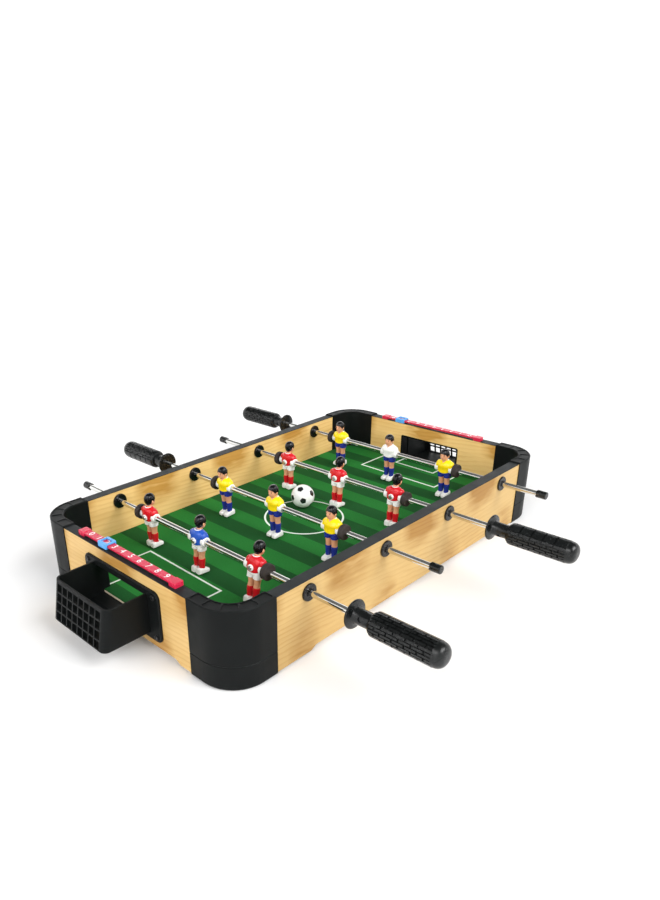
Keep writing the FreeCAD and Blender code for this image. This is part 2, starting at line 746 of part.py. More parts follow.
def goal_basket():
    """One moulding: flange, mouth sleeve, ledge and open-topped basket."""
    body = basket_flange().fuse([mouth_sleeve(), basket_shell(), basket_ledge()])
    cuts = lattice_holes()
    for y, z in goal_screw_spots():
        start = point(END_PANEL_OUTER - 1, y, z)
        cuts.append(cylinder(GOAL_SCREW_HOLE_RADIUS, start, X_AXIS, FLANGE_THICKNESS + 2))
    return body.cut(cuts).removeSplitter()


def goal_screws():
    """Cross-head screws that hold both flanges to the end panels."""
    screws = []
    seat = END_PANEL_OUTER + FLANGE_THICKNESS
    top = seat + GOAL_SCREW_HEAD_HEIGHT
    for y, z in goal_screw_spots():
        head = cylinder(GOAL_SCREW_HEAD_RADIUS, point(seat, y, z), X_AXIS, GOAL_SCREW_HEAD_HEIGHT)
        head = fillet_where(head, GOAL_SCREW_EDGE_RADIUS, lambda edge: edge.CenterOfMass.x > top - TINY)
        cross = [
            box((top - CROSS_DEPTH, y - half_y, z - half_z), (top + 1, y + half_y, z + half_z))
            for half_y, half_z in (CROSS_ARMS, CROSS_ARMS[::-1])
        ]
        shank_length = FLANGE_THICKNESS + GOAL_SCREW_DEPTH
        shank = cylinder(GOAL_SCREW_RADIUS, point(seat, y, z), -X_AXIS, shank_length)
        screws.append(head.cut(cross).fuse(shank))
    return Part.makeCompound(screws + [mirrored_x(screw) for screw in screws])


# ---------------------------------------------------------------- bushes

def bush(x):
    """A flanged bush in the back panel, its flange outside and its barrel through."""
    outer_face = SIDE_PANEL_OUTER + BUSH_FLANGE_THICKNESS
    inner_end = SIDE_PANEL_INNER - BUSH_FLANGE_THICKNESS - BUSH_BARREL_PROUD
    flange = cylinder(
        BUSH_FLANGE_RADIUS, point(x, SIDE_PANEL_OUTER, ROD_HEIGHT), Y_AXIS, BUSH_FLANGE_THICKNESS
    )
    flange = fillet_where(flange, BUSH_FLANGE_EDGE, lambda edge: edge.CenterOfMass.y > outer_face - TINY)
    base = point(x, inner_end, ROD_HEIGHT)
    barrel = cylinder(BUSH_BARREL_RADIUS, base, Y_AXIS, SIDE_PANEL_OUTER + 0.5 - inner_end)
    bore_length = outer_face - inner_end + 2
    bore = cylinder(ROD_RADIUS + RUNNING_CLEARANCE, base - Y_AXIS, Y_AXIS, bore_length)
    dish = Part.makeCone(
        ROD_RADIUS, BUSH_DISH_RADIUS, BUSH_DISH_DEPTH,
        point(x, outer_face - BUSH_DISH_DEPTH, ROD_HEIGHT), Y_AXIS,
    )
    return flange.fuse(barrel).cut([bore, dish]).removeSplitter()


def bush_ring(x):
    """The ring pressed on a bush's barrel inside the panel."""
    face = SIDE_PANEL_INNER - BUSH_FLANGE_THICKNESS
    ring = cylinder(BUSH_FLANGE_RADIUS, point(x, face, ROD_HEIGHT), Y_AXIS, BUSH_FLANGE_THICKNESS)
    ring = fillet_where(ring, BUSH_RING_EDGE, lambda edge: edge.CenterOfMass.y < face + TINY)
    return ring.cut(cylinder(BUSH_BARREL_RADIUS, point(x, face - 1, ROD_HEIGHT), Y_AXIS, 5))


def at_every_bush(make):
    """A group with one piece at each rod in the back panel and its mirror in the front."""
    back = [make(x) for x in ROD_XS]
    return Part.makeCompound(back + [mirrored_y(piece) for piece in back])


# ---------------------------------------------------------------- rods and handles
# Each is made around the Y axis with its handle towards +Y, then carried to its rod.

def to_side(shape, index):
    """Turn a shape to the side that its rod's handle is on."""
    return mirrored_y(shape) if HANDLE_SIDES[index] < 0 else shape


def onto_rod(shape, index):
    """Move a shape from the Y axis to its rod's place."""
    placed = shape.copy()
    placed.translate(point(ROD_XS[index], ROD_SHIFTS[index], ROD_HEIGHT))
    return placed


def turned(shape, degrees):
    """A copy turned about the Y axis, its top towards +X."""
    copy = shape.copy()
    copy.rotate(ORIGIN, Y_AXIS, degrees)
    return copy


def handle_screw_hole(index):
    """The cross hole under the handle's screw, turned to the screw's own angle."""
    base = point(0, HANDLE_STARTS[index] + HANDLE_SCREW_PLACE, 0)
    hole = cylinder(SCREW_HOLE_RADIUS, base, Z_AXIS, 2 * ROD_RADIUS)
    return turned(hole, HANDLE_SCREW_TURNS[index])


def player_screw_hole(index, place):
    """The cross hole for a player's screw, turned with the player."""
    start = point(-2 * ROD_RADIUS, PLAYER_YS[place], 0)
    hole = cylinder(SCREW_HOLE_RADIUS, start, X_AXIS, 4 * ROD_RADIUS)
    return turned(hole, PLAYER_TILTS[index][place])


def rod(index):
    """A round steel rod with a cross hole at each player and under the handle."""
    start = END_CAP_WALL - END_CAP_END
    end = HANDLE_STARTS[index] + HANDLE_ROD_DEPTH
    shaft = cylinder(ROD_RADIUS, point(0, start, 0), Y_AXIS, end - start)
    rims = [edge for edge in shaft.Edges if edge.BoundBox.YLength < TINY]
    shaft = shaft.makeChamfer(ROD_END_CHAMFER, rims)
    shaft = to_side(shaft.cut(handle_screw_hole(index)), index)
    return shaft.cut([player_screw_hole(index, place) for place in range(len(PLAYER_YS))])


def handle_profile(start):
    """Half the handle's outline as (radius, distance along), up to its rounded tip."""
    flange_end = start + HANDLE_FLANGE_THICKNESS
    neck_end = start + HANDLE_NECK_LENGTH
    shoulder_end = neck_end + HANDLE_SHOULDER_LENGTH
    edge = HANDLE_FLANGE_EDGE
    return [
        (0, start),
        (HANDLE_FLANGE_RADIUS - edge, start),
        (HANDLE_FLANGE_RADIUS, start + edge),
        (HANDLE_FLANGE_RADIUS, flange_end - edge),
        (HANDLE_FLANGE_RADIUS - edge, flange_end),
        (HANDLE_NECK_RADIUS + HANDLE_NECK_FLARE, flange_end),
        (HANDLE_NECK_RADIUS, flange_end + HANDLE_NECK_FLARE),
        (HANDLE_NECK_RADIUS, neck_end),
        (HANDLE_GRIP_RADIUS - HANDLE_SHOULDER_DROP, shoulder_end),
        (HANDLE_GRIP_RADIUS, shoulder_end + HANDLE_SHOULDER_ROUNDING),
        (HANDLE_GRIP_RADIUS, start + HANDLE_LENGTH - HANDLE_TIP_RADIUS),
    ]


def handle_body(start):
    """The handle turned solid, with nothing cut out of it."""
    end = start + HANDLE_LENGTH
    points = [point(radius, along) for radius, along in handle_profile(start)]
    tip_x = HANDLE_GRIP_RADIUS - HANDLE_TIP_RADIUS
    tip_y = end - HANDLE_TIP_RADIUS
    diagonal = HANDLE_TIP_RADIUS * math.sqrt(0.5)
    tip = Part.Arc(points[-1], point(tip_x + diagonal, tip_y + diagonal), point(tip_x, end))
    edges = [Part.makeLine(a, b) for a, b in zip(points[:-1], points[1:])]
    edges.append(tip.toShape())
    edges.append(Part.makeLine(point(tip_x, end), point(0, end)))
    edges.append(Part.makeLine(point(0, end), points[0]))
    return Part.Face(Part.Wire(edges)).revolve(ORIGIN, Y_AXIS, 360)


def handle_grooves(start):
    """Grooves along the grip."""
    low = start + HANDLE_NECK_LENGTH + HANDLE_SHOULDER_LENGTH + HANDLE_SHOULDER_ROUNDING + 1
    high = start + HANDLE_LENGTH - HANDLE_TIP_RADIUS - 1
    half = HANDLE_GROOVE_WIDTH / 2
    groove = box(
        (-half, low, HANDLE_GRIP_RADIUS - HANDLE_GROOVE_DEPTH),
        (half, high, HANDLE_GRIP_RADIUS + 1),
    )
    step = 360 / HANDLE_GROOVES
    return [turned(groove, step * (number + 0.5)) for number in range(HANDLE_GROOVES)]


def handle(index):
    """Flange, neck and grooved grip in one, with a blind bore for the rod."""
    start = HANDLE_STARTS[index]
    depth = HANDLE_ROD_DEPTH + HANDLE_BORE_SPARE
    bore = cylinder(ROD_RADIUS + FIXED_FIT, point(0, start - 1, 0), Y_AXIS, depth + 1)
    middle = point(0, start + HANDLE_SCREW_PLACE, 0)
    screw_hole = cylinder(SCREW_HOLE_RADIUS, middle, Z_AXIS, HANDLE_NECK_RADIUS + 1)
    seat = middle + Z_AXIS * HANDLE_SCREW_SEAT
    recess = cylinder(SCREW_HEAD_RADIUS + 0.25, seat, Z_AXIS, HANDLE_NECK_RADIUS)
    side_cuts = [turned(cut, HANDLE_SCREW_TURNS[index]) for cut in (screw_hole, recess)]
    return to_side(handle_body(start).cut([bore] + side_cuts + handle_grooves(start)), index)


def end_cap(index):
    """A cap with two cross slots on the rod's free end."""
    length = END_CAP_END - END_CAP_START
    cap = cylinder(END_CAP_RADIUS, point(0, -END_CAP_END, 0), Y_AXIS, length)
    cap = fillet_where(cap, END_CAP_EDGE, lambda edge: edge.BoundBox.YMax < TINY - END_CAP_END)
    bottom = point(0, END_CAP_WALL - END_CAP_END, 0)
    socket = cylinder(ROD_RADIUS + FIXED_FIT, bottom, Y_AXIS, length)
    half = END_CAP_SLOT_WIDTH / 2
    start = -END_CAP_START - END_CAP_SLOT_LENGTH
    across = END_CAP_RADIUS + 1
    slots = [
        box((-half, start, -across), (half, 1 - END_CAP_START, across)),
        box((-across, start, -half), (across, 1 - END_CAP_START, half)),
    ]
    return to_side(cap.cut([socket] + slots), index)


def bumpers():
    """Two rubber rings, each between an outer player and its side panel."""
    rings = []
    for side in (-1, 1):
        start = point(0, side * BUMPER_CENTRE - BUMPER_WIDTH / 2, 0)
        ring = cylinder(BUMPER_RADIUS, start, Y_AXIS, BUMPER_WIDTH)
        rims = [edge for edge in ring.Edges if edge.BoundBox.YLength < TINY]
        ring = ring.makeFillet(BUMPER_EDGE_RADIUS, rims)
        bore = cylinder(ROD_RADIUS + RUBBER_CLEARANCE, start - Y_AXIS, Y_AXIS, BUMPER_WIDTH + 2)
        rings.append(ring.cut(bore))
    return Part.makeCompound(rings)


def player_screw(index, place):
    """The screw through a player's back into the far side of the rod."""
    seat = point(PLAYER_BACK, PLAYER_YS[place], 0)
    head = cylinder(SCREW_HEAD_RADIUS, seat, -X_AXIS, SCREW_HEAD_HEIGHT)
    head = fillet_where(head, SCREW_HEAD_EDGE, lambda edge: edge.BoundBox.XMax < PLAYER_BACK - 1)
    shank = cylinder(SCREW_RADIUS, seat, X_AXIS, PLAYER_SCREW_END - PLAYER_BACK)
    screw = head.fuse(shank)
    if FACINGS[index] < 0:
        screw = mirrored_x(screw)
    return turned(screw, PLAYER_TILTS[index][place])


def handle_screw(index):
    """The screw sunk in the handle's neck."""
    middle = point(0, HANDLE_STARTS[index] + HANDLE_SCREW_PLACE, 0)
    seat = middle + Z_AXIS * HANDLE_SCREW_SEAT
    head = cylinder(SCREW_HEAD_RADIUS, seat, Z_AXIS, SCREW_HEAD_HEIGHT)
    shank = cylinder(SCREW_RADIUS, middle, Z_AXIS, HANDLE_SCREW_SEAT)
    return to_side(turned(head.fuse(shank), HANDLE_SCREW_TURNS[index]), index)


def rod_screws(index):
    screws = [player_screw(index, place) for place in range(len(PLAYER_YS))]
    return Part.makeCompound(screws + [handle_screw(index)])


# ---------------------------------------------------------------- players, facing +X

def rounded_section(half_x, half_y, centre_x, height):
    """A rounded rectangle across the figure at one height."""
    radius = PLAYER_ROUNDNESS * 2 * min(half_x, half_y)
    low = (centre_x - half_x, -half_y, height)
    high = (centre_x + half_x, half_y, height + 1)
    slab = rounded_box(low, high, radius)
    return min(slab.Faces, key=lambda face: face.CenterOfMass.z).OuterWire


def player_trunk():
    """Shirt and shorts, lofted through sections."""
    wires = [rounded_section(*section) for section in PLAYER_SECTIONS]
    return Part.makeLoft(wires, True, True)


def player_head():
    head = Part.makeSphere(1.0)
    stretch = FreeCAD.Matrix()
    stretch.scale(*PLAYER_HEAD_HALF)
    head = head.transformGeometry(stretch)
    head.translate(point(PLAYER_HEAD_FORWARD, 0, PLAYER_HEAD_TOP - PLAYER_HEAD_HALF[2]))
    base = point(PLAYER_NECK_FORWARD, 0, PLAYER_NECK_START)
    return head.fuse(cylinder(PLAYER_NECK_RADIUS, base, Z_AXIS, PLAYER_NECK_LENGTH))


def player_legs():
    return [
        Part.makeCone(
            PLAYER_LEG_RADII[0],
            PLAYER_LEG_RADII[1],
            PLAYER_LEG_LENGTH,
            point(PLAYER_LEG_FORWARD, side * PLAYER_LEG_APART, PLAYER_LEG_BOTTOM),
            Z_AXIS,
        )
        for side in (-1, 1)
    ]


def player_shoes():
    """The block that both feet stand on, split at the front."""
    block = rounded_box(
        (PLAYER_SHOE_HEEL, -PLAYER_SHOE_HALF, PLAYER_FOOT_BOTTOM),
        (PLAYER_SHOE_TOE, PLAYER_SHOE_HALF, PLAYER_SHOE_TOP),
        PLAYER_SHOE_CORNER,
    )
    split = box(
        (PLAYER_SPLIT_START, -PLAYER_SPLIT_HALF, PLAYER_FOOT_BOTTOM - 1),
        (PLAYER_SHOE_TOE + 1, PLAYER_SPLIT_HALF, PLAYER_SHOE_TOP + 1),
    )
    return block.cut(split)


def player(index, place):
    """One moulded figure with a boss around its rod and a screw boss in its back."""
    start = point(0, -PLAYER_BOSS_HALF, 0)
    boss = cylinder(PLAYER_BOSS_RADIUS, start, Y_AXIS, 2 * PLAYER_BOSS_HALF)
    back = point(PLAYER_BACK, 0, 0)
    screw_boss = cylinder(SCREW_HEAD_RADIUS + SCREW_BOSS_WALL, back, X_AXIS, SCREW_BOSS_DEPTH)
    limbs = [boss, screw_boss, player_head(), player_shoes()] + player_legs()
    figure = player_trunk().fuse(limbs)
    rod_hole = cylinder(ROD_RADIUS + FIXED_FIT, start - Y_AXIS, Y_AXIS, 2 * PLAYER_BOSS_HALF + 2)
    hole_length = PLAYER_SCREW_END + 2 - PLAYER_BACK
    screw_hole = cylinder(SCREW_HOLE_RADIUS, back - X_AXIS, X_AXIS, hole_length)
    figure = figure.cut([rod_hole, screw_hole])
    if FACINGS[index] < 0:
        figure = mirrored_x(figure)
    figure = turned(figure, PLAYER_TILTS[index][place])
    figure.translate(point(0, PLAYER_YS[place], 0))
    return figure


# ---------------------------------------------------------------- score rails, made at the right end

def score_rail():
    """A raised bar between two end blocks that stand on the end trim."""
    middle = (END_PANEL_INNER + END_PANEL_OUTER) / 2 + SCORE_RAIL_SHIFT_X
    low_y = SCORE_RAIL_SHIFT_Y - SCORE_RAIL_HALF
    high_y = SCORE_RAIL_SHIFT_Y + SCORE_RAIL_HALF
    bar = box(
        (middle - SCORE_BAR_HALF, low_y + 1, SCORE_BAR_TOP - SCORE_BAR_THICKNESS),
        (middle + SCORE_BAR_HALF, high_y - 1, SCORE_BAR_TOP),
    )
    pieces = []
    for start in (low_y, high_y - SCORE_BLOCK_LENGTH):
        block = rounded_box(
            (middle - SCORE_BLOCK_HALF, start, TRIM_TOP),
            (middle + SCORE_BLOCK_HALF, start + SCORE_BLOCK_LENGTH, SCORE_BLOCK_TOP),
            SCORE_BLOCK_CORNER,
        )
        top = [edge for edge in block.Edges if edge.BoundBox.ZMin > SCORE_BLOCK_TOP - TINY]
        pieces.append(block.makeFillet(SCORE_BLOCK_EDGE, top))
    return bar.fuse(pieces).removeSplitter()


def digit_y(digit):
    """The place of a digit along the right rail, where the numbers rise towards +Y."""
    return SCORE_RAIL_SHIFT_Y + (digit - SCORE_MIDDLE_DIGIT) * SCORE_PITCH


def score_slider(digit):
    """The frame that slides round the bar and shows one number in its window."""
    middle = (END_PANEL_INNER + END_PANEL_OUTER) / 2 + SCORE_RAIL_SHIFT_X
    centre = digit_y(digit)
    half = SCORE_BAR_HALF + SLIDER_GAP + SLIDER_WALL
    bottom = SCORE_BAR_TOP - SCORE_BAR_THICKNESS - SLIDER_GAP - SLIDER_LIP
    low = (middle - half, centre - SLIDER_LENGTH / 2, bottom)
    high = (middle + half, centre + SLIDER_LENGTH / 2, SLIDER_TOP)
    frame = rounded_box(low, high, SLIDER_CORNER)
    top = [edge for edge in frame.Edges if edge.BoundBox.ZMin > SLIDER_TOP - TINY]
    frame = frame.makeFillet(SLIDER_EDGE, top)
    around = box(
        (middle - SCORE_BAR_HALF - SLIDER_GAP, low[1] - 1, bottom + SLIDER_LIP),
        (middle + SCORE_BAR_HALF + SLIDER_GAP, high[1] + 1, SCORE_BAR_TOP + SLIDER_GAP),
    )
    below = box(
        (middle - SCORE_BAR_HALF + SLIDER_LIP_REACH, low[1] - 1, bottom - 1),
        (middle + SCORE_BAR_HALF - SLIDER_LIP_REACH, high[1] + 1, SCORE_BAR_TOP),
    )
    window = box(
        (middle - SLIDER_WINDOW_HALF_X, centre - SLIDER_WINDOW_HALF_Y, SCORE_BAR_TOP - 1),
        (middle + SLIDER_WINDOW_HALF_X, centre + SLIDER_WINDOW_HALF_Y, SLIDER_TOP + 1),
    )
    return frame.cut([around, below, window])


def half_turn(shape):
    """Carry a shape from the right end to the left one, as a half turn about Z does."""
    return mirrored_y(mirrored_x(shape))


# ---------------------------------------------------------------- ball

def ball():
    return Part.makeSphere(BALL_RADIUS, point(BALL_X, BALL_Y, FIELD_TOP + BALL_LIFT + BALL_RADIUS))


# ---------------------------------------------------------------- writing the nodes

def save_frame():
    post = corner_post()
    foot = corner_foot()
    for name, signs in CORNERS.items():
        save("corner_post_" + name, to_corner(post, signs))
    save("corner_feet", Part.makeCompound([to_corner(foot, signs) for signs in CORNERS.values()]))
    save("corner_screws", corner_screws())
    save("side_panel_back", side_panel())
    save("side_panel_front", mirrored_y(side_panel()))
    save("end_panel_right", end_panel())
    save("end_panel_left", mirrored_x(end_panel()))
    save("side_trim_back", side_trim())
    save("side_trim_front", mirrored_y(side_trim()))
    save("end_trim_right", end_trim())
    save("end_trim_left", mirrored_x(end_trim()))


def save_playfield():
    save("playfield_board", playfield_layer(GROOVE_DEPTH - BOARD_GAP, BOARD_BOTTOM, BOARD_TOP))
    save("playfield_sheet", playfield_layer(-BOARD_GAP, BOARD_TOP, FIELD_TOP))


def save_goals():
    basket = goal_basket()
    save("goal_basket_right", basket)
    save("goal_basket_left", mirrored_x(basket))
    save("goal_screws", goal_screws())


def save_rods():
    for index in range(len(ROD_XS)):
        number = str(index + 1)
        save("rod_" + number, onto_rod(rod(index), index))
        save("handle_" + number, onto_rod(handle(index), index))
        save("end_cap_" + number, onto_rod(end_cap(index), index))
        save("bumpers_" + number, onto_rod(bumpers(), index))
        save("rod_screws_" + number, onto_rod(rod_screws(index), index))
        for place, name in enumerate(PLAYER_PLACES):
            save("player_" + number + "_" + name, onto_rod(player(index, place), index))


def save_score():
    rail = score_rail()
    save("score_rail_right", rail)
    save("score_rail_left", half_turn(rail))
    save("score_slider_right", score_slider(SCORE_REST_DIGITS["right"]))
    save("score_slider_left", half_turn(score_slider(SCORE_REST_DIGITS["left"])))


def main():
    os.makedirs("parts", exist_ok=True)
    save_frame()
    save_playfield()
    save_goals()
    save("rod_bushes", at_every_bush(bush))
    save("bush_rings", at_every_bush(bush_ring))
    save_rods()
    save_score()
    save("ball", ball())


main()
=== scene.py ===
import json
import math

import bmesh
import bpy
from mathutils import Euler, Matrix, Vector


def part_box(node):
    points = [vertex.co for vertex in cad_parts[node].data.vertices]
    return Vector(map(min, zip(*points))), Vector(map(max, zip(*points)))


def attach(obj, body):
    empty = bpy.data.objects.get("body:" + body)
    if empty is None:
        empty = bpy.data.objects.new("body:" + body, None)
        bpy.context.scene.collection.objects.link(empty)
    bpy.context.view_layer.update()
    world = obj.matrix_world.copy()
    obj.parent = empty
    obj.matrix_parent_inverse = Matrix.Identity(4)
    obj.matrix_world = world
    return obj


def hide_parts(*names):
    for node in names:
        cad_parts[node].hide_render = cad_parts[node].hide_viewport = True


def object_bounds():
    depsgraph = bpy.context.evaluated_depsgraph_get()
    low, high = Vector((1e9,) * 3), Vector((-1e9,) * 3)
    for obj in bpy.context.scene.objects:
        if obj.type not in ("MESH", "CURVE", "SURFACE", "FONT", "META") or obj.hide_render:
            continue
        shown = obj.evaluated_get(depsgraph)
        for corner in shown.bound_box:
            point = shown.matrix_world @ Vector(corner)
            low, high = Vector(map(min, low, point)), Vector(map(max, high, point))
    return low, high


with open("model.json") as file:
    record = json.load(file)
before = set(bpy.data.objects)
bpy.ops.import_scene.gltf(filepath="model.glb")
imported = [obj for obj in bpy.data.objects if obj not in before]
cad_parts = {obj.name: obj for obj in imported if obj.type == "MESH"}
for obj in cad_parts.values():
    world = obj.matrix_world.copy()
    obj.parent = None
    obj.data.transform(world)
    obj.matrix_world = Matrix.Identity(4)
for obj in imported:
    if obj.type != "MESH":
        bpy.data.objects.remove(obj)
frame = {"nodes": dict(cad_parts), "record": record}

CAD_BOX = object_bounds()
MM = 0.001
RODS = (1, 2, 3, 4)
PLACES = ("front", "middle", "back")
# Where most of a noise's values lie
NOISE_LOW = 0.3
NOISE_HIGH = 0.7

# ---------------------------------------------------------------- node helpers


class Shader:
    """A new material with one principled shader, and short ways of wiring nodes to it."""

    def __init__(self, name, roughness, **settings):
        self.material = bpy.data.materials.new(name)
        self.material.use_nodes = True
        self.tree = self.material.node_tree
        self.tree.nodes.clear()
        output = self.add("ShaderNodeOutputMaterial")
        self.surface = self.add("ShaderNodeBsdfPrincipled")
        self.tree.links.new(self.surface.outputs["BSDF"], output.inputs["Surface"])
        self.surface.inputs["Roughness"].default_value = roughness
        for socket, value in settings.items():
            self.surface.inputs[socket.replace("_", " ")].default_value = value
        self.place = self.add("ShaderNodeTexCoord").outputs["Object"]
        self.x, self.y, self.z = self.split(self.place)

    def add(self, kind, **settings):
        node = self.tree.nodes.new(kind)
        for key, value in settings.items():
            setattr(node, key, value)
        return node

    def put(self, value, socket):
        """Link a node's output to the socket, or set a plain value on it."""
        if isinstance(value, bpy.types.NodeSocket):
            self.tree.links.new(value, socket)
        else:
            socket.default_value = value

    def split(self, vector):
        node = self.add("ShaderNodeSeparateXYZ")
        self.put(vector, node.inputs[0])
        return node.outputs

    def maths(self, operation, *values):
        node = self.add("ShaderNodeMath", operation=operation)
        for value, socket in zip(values, node.inputs):
            self.put(value, socket)
        return node.outputs[0]

    def plus(self, a, b):
        return self.maths("ADD", a, b)

    def minus(self, a, b):
        return self.maths("SUBTRACT", a, b)

    def times(self, a, b):
        return self.maths("MULTIPLY", a, b)

    def noise(self, scale, stretch=(1, 1, 1), detail=3.0, shift=(0, 0, 0)):
        """Noise between 0 and 1, scale features to the metre, denser along each stretched axis."""
        mapping = self.add("ShaderNodeMapping")
        self.put(self.place, mapping.inputs["Vector"])
        mapping.inputs["Scale"].default_value = stretch
        mapping.inputs["Location"].default_value = shift
        node = self.add("ShaderNodeTexNoise")
        self.put(mapping.outputs[0], node.inputs["Vector"])
        node.inputs["Scale"].default_value = scale
        node.inputs["Detail"].default_value = detail
        return node.outputs[0]

    def ramp(self, value, *stops):
        node = self.add("ShaderNodeValToRGB")
        self.put(value, node.inputs[0])
        elements = node.color_ramp.elements
        while len(elements) < len(stops):
            elements.new(0.5)
        for element, (position, colour) in zip(elements, stops):
            element.position = position
            element.color = (*colour, 1.0)
        return node.outputs[0]

    def blend(self, factor, a, b, mode="MIX"):
        node = self.add("ShaderNodeMix", data_type="RGBA", blend_type=mode)
        self.put(factor, node.inputs[0])
        for value, socket in ((a, node.inputs[6]), (b, node.inputs[7])):
            self.put(value if isinstance(value, bpy.types.NodeSocket) else (*value, 1.0), socket)
        return node.outputs[2]

    def map_range(self, value, *numbers):
        """The value taken from one range to another: from low, from high, to low, to high."""
        node = self.add("ShaderNodeMapRange")
        self.put(value, node.inputs[0])
        for socket, number in zip(node.inputs[1:5], numbers):
            socket.default_value = number
        return node.outputs[0]

    def spread(self, value, low, high):
        """Noise's usual middle range, taken to low..high."""
        return self.map_range(value, NOISE_LOW, NOISE_HIGH, low, high)

    def colour(self, value):
        self.put(value, self.surface.inputs["Base Color"])

    def roughness(self, value):
        self.put(value, self.surface.inputs["Roughness"])

    def bump(self, height, distance, strength=1.0):
        node = self.add("ShaderNodeBump")
        node.inputs["Distance"].default_value = distance
        node.inputs["Strength"].default_value = strength
        self.put(height, node.inputs["Height"])
        self.put(node.outputs[0], self.surface.inputs["Normal"])


def mottled(shader, colour, amount, scale):
    """A colour with a slight unevenness in its lightness."""
    dark = tuple(channel * (1 - amount) for channel in colour)
    light = tuple(min(channel * (1 + amount), 1.0) for channel in colour)
    return shader.ramp(shader.noise(scale), (NOISE_LOW, dark), (NOISE_HIGH, light))


# ---------------------------------------------------------------- materials


# Pine: the rings lie about a heart line below and beside the panel, in metres
HEART_DROP = 0.020
HEART_AWAY = 0.034
HEART_SLOPE = 0.035
HEART_SHIFT = 0.05
SWAY_RATE = 11.0
SWAY_START = 0.9
SWAY_REACH = 0.012
WAVER_REACH = 0.004
RINGS_TO_THE_METRE = 215.0
RING_JITTER = 0.8
# Darker brown patches come in waves along the panel, and fade with height
BROWN_WAVE_RATE = 54.6
BROWN_WAVE_START = -3.44
BROWN_WAVE_FADE = 24.0
BROWN_WAVE_LEVEL = 0.35
WHITE_LIGHT = (1.0, 1.0, 1.0)


def wood(name, along, core, outside):
    """Pine: rings about a heart below the panel show as fine lines along it, with darker brown patches.

    core is how far the panel's middle lies from the table's, and past it, on the outer faces, the colour
    is deeper: painted shade, so that the inner faces look better lit than the lamps make them.
    """
    shader = Shader(name, 0.45, Specular_IOR_Level=0.3)
    run, depth = (shader.x, shader.y) if along == "x" else (shader.y, shader.x)
    stretch = (1, 4, 4) if along == "x" else (4, 1, 4)
    waver = shader.spread(shader.noise(5.0, stretch, detail=1.5), -1.0, 1.0)
    sway = shader.maths("SINE", shader.plus(shader.times(run, SWAY_RATE), SWAY_START))
    shift = shader.plus(shader.times(sway, SWAY_REACH), shader.times(depth, HEART_SHIFT))
    away = shader.plus(HEART_AWAY, shift)
    rise = shader.plus(shader.times(run, HEART_SLOPE), shader.times(waver, WAVER_REACH))
    height = shader.plus(shader.plus(shader.z, HEART_DROP), rise)
    radius = shader.maths(
        "SQRT", shader.plus(shader.times(height, height), shader.times(away, away))
    )
    rings = shader.times(radius, RINGS_TO_THE_METRE)
    jitter = shader.times(shader.noise(45.0, stretch, detail=2.0), RING_JITTER)
    ring = shader.maths("FRACT", shader.plus(rings, jitter))
    grain = shader.ramp(
        ring,
        (0.0, (0.870, 0.590, 0.235)),
        (0.50, (0.860, 0.572, 0.222)),
        (0.84, (0.745, 0.450, 0.142)),
        (1.0, (0.860, 0.577, 0.226)),
    )
    plain = shader.spread(shader.noise(9.0, stretch, detail=2.0, shift=(5, 2, 7)), 0.0, 0.85)
    grain = shader.blend(plain, grain, (0.860, 0.580, 0.228))
    fibre_stretch = (25, 900, 900) if along == "x" else (900, 25, 900)
    fibres = shader.ramp(
        shader.noise(1.0, fibre_stretch, detail=3.0),
        (NOISE_LOW, (0.94, 0.93, 0.91)),
        (NOISE_HIGH, WHITE_LIGHT),
    )
    clouds = shader.ramp(
        shader.noise(11.0, stretch, detail=2.0, shift=(3, 1, 2)),
        (0.32, (0.90, 0.86, 0.78)),
        (0.55, WHITE_LIGHT),
    )
    # Darker brown patches in waves along the panel, strongest at its foot and fading upwards.
    wave = shader.maths("COSINE", shader.plus(shader.times(run, BROWN_WAVE_RATE), BROWN_WAVE_START))
    fade = shader.minus(1.0, shader.times(shader.z, BROWN_WAVE_FADE))
    patchy = shader.spread(shader.noise(28.0, stretch, detail=2.0), 0.2, 1.1)
    reach = shader.times(shader.times(shader.minus(wave, BROWN_WAVE_LEVEL), fade), patchy)
    brown_wave = shader.ramp(reach, (0.02, WHITE_LIGHT), (0.42, (0.66, 0.52, 0.30)))
    colour = shader.blend(1.0, shader.blend(1.0, grain, fibres, "MULTIPLY"), clouds, "MULTIPLY")
    colour = shader.blend(1.0, colour, brown_wave, "MULTIPLY")
    # Painted shade: the outer faces get a darker copy of the pine, so the inner walls look lighter, as
    # if better lit.
    outer = shader.maths("GREATER_THAN", shader.maths("ABSOLUTE", depth), core)
    painted_shade_outside = shader.blend(1.0, colour, (outside, outside, outside), "MULTIPLY")
    shader.colour(shader.blend(outer, colour, painted_shade_outside))
    shader.bump(shader.noise(1.0, fibre_stretch, detail=2.0), distance=0.00012, strength=0.5)
    return shader.material


def board_edge(name):
    """The playfield board's raw edge."""
    shader = Shader(name, 0.75)
    layers = shader.noise(1.0, stretch=(60, 60, 1500))
    shader.colour(shader.ramp(layers, (0.35, (0.60, 0.50, 0.34)), (0.65, (0.84, 0.74, 0.56))))
    shader.bump(layers, distance=0.0002)
    return shader.material


def outline(shader, x, y, centre, half, width):
    """1 on the outline of a rectangle."""
    across = shader.minus(shader.maths("ABSOLUTE", shader.minus(x, centre[0])), half[0])
    along = shader.minus(shader.maths("ABSOLUTE", shader.minus(y, centre[1])), half[1])
    edge = shader.maths("ABSOLUTE", shader.maths("MAXIMUM", across, along))
    return shader.maths("LESS_THAN", edge, width / 2)


def circle(shader, x, y, radius, width):
    """1 on a circle about the middle."""
    square = shader.plus(shader.times(x, x), shader.times(y, y))
    edge = shader.maths("ABSOLUTE", shader.minus(shader.maths("SQRT", square), radius))
    return shader.maths("LESS_THAN", edge, width / 2)


# The printed field, in metres: its lines lie a little off the table's middle, as in the photo
BAND_WIDTH = 0.0223
FIELD_MIDDLE = (0.0053, 0.0113)
FIELD_TURN = -0.020
LINE_WIDTH = 0.0022
CIRCLE_RADIUS = 0.0455
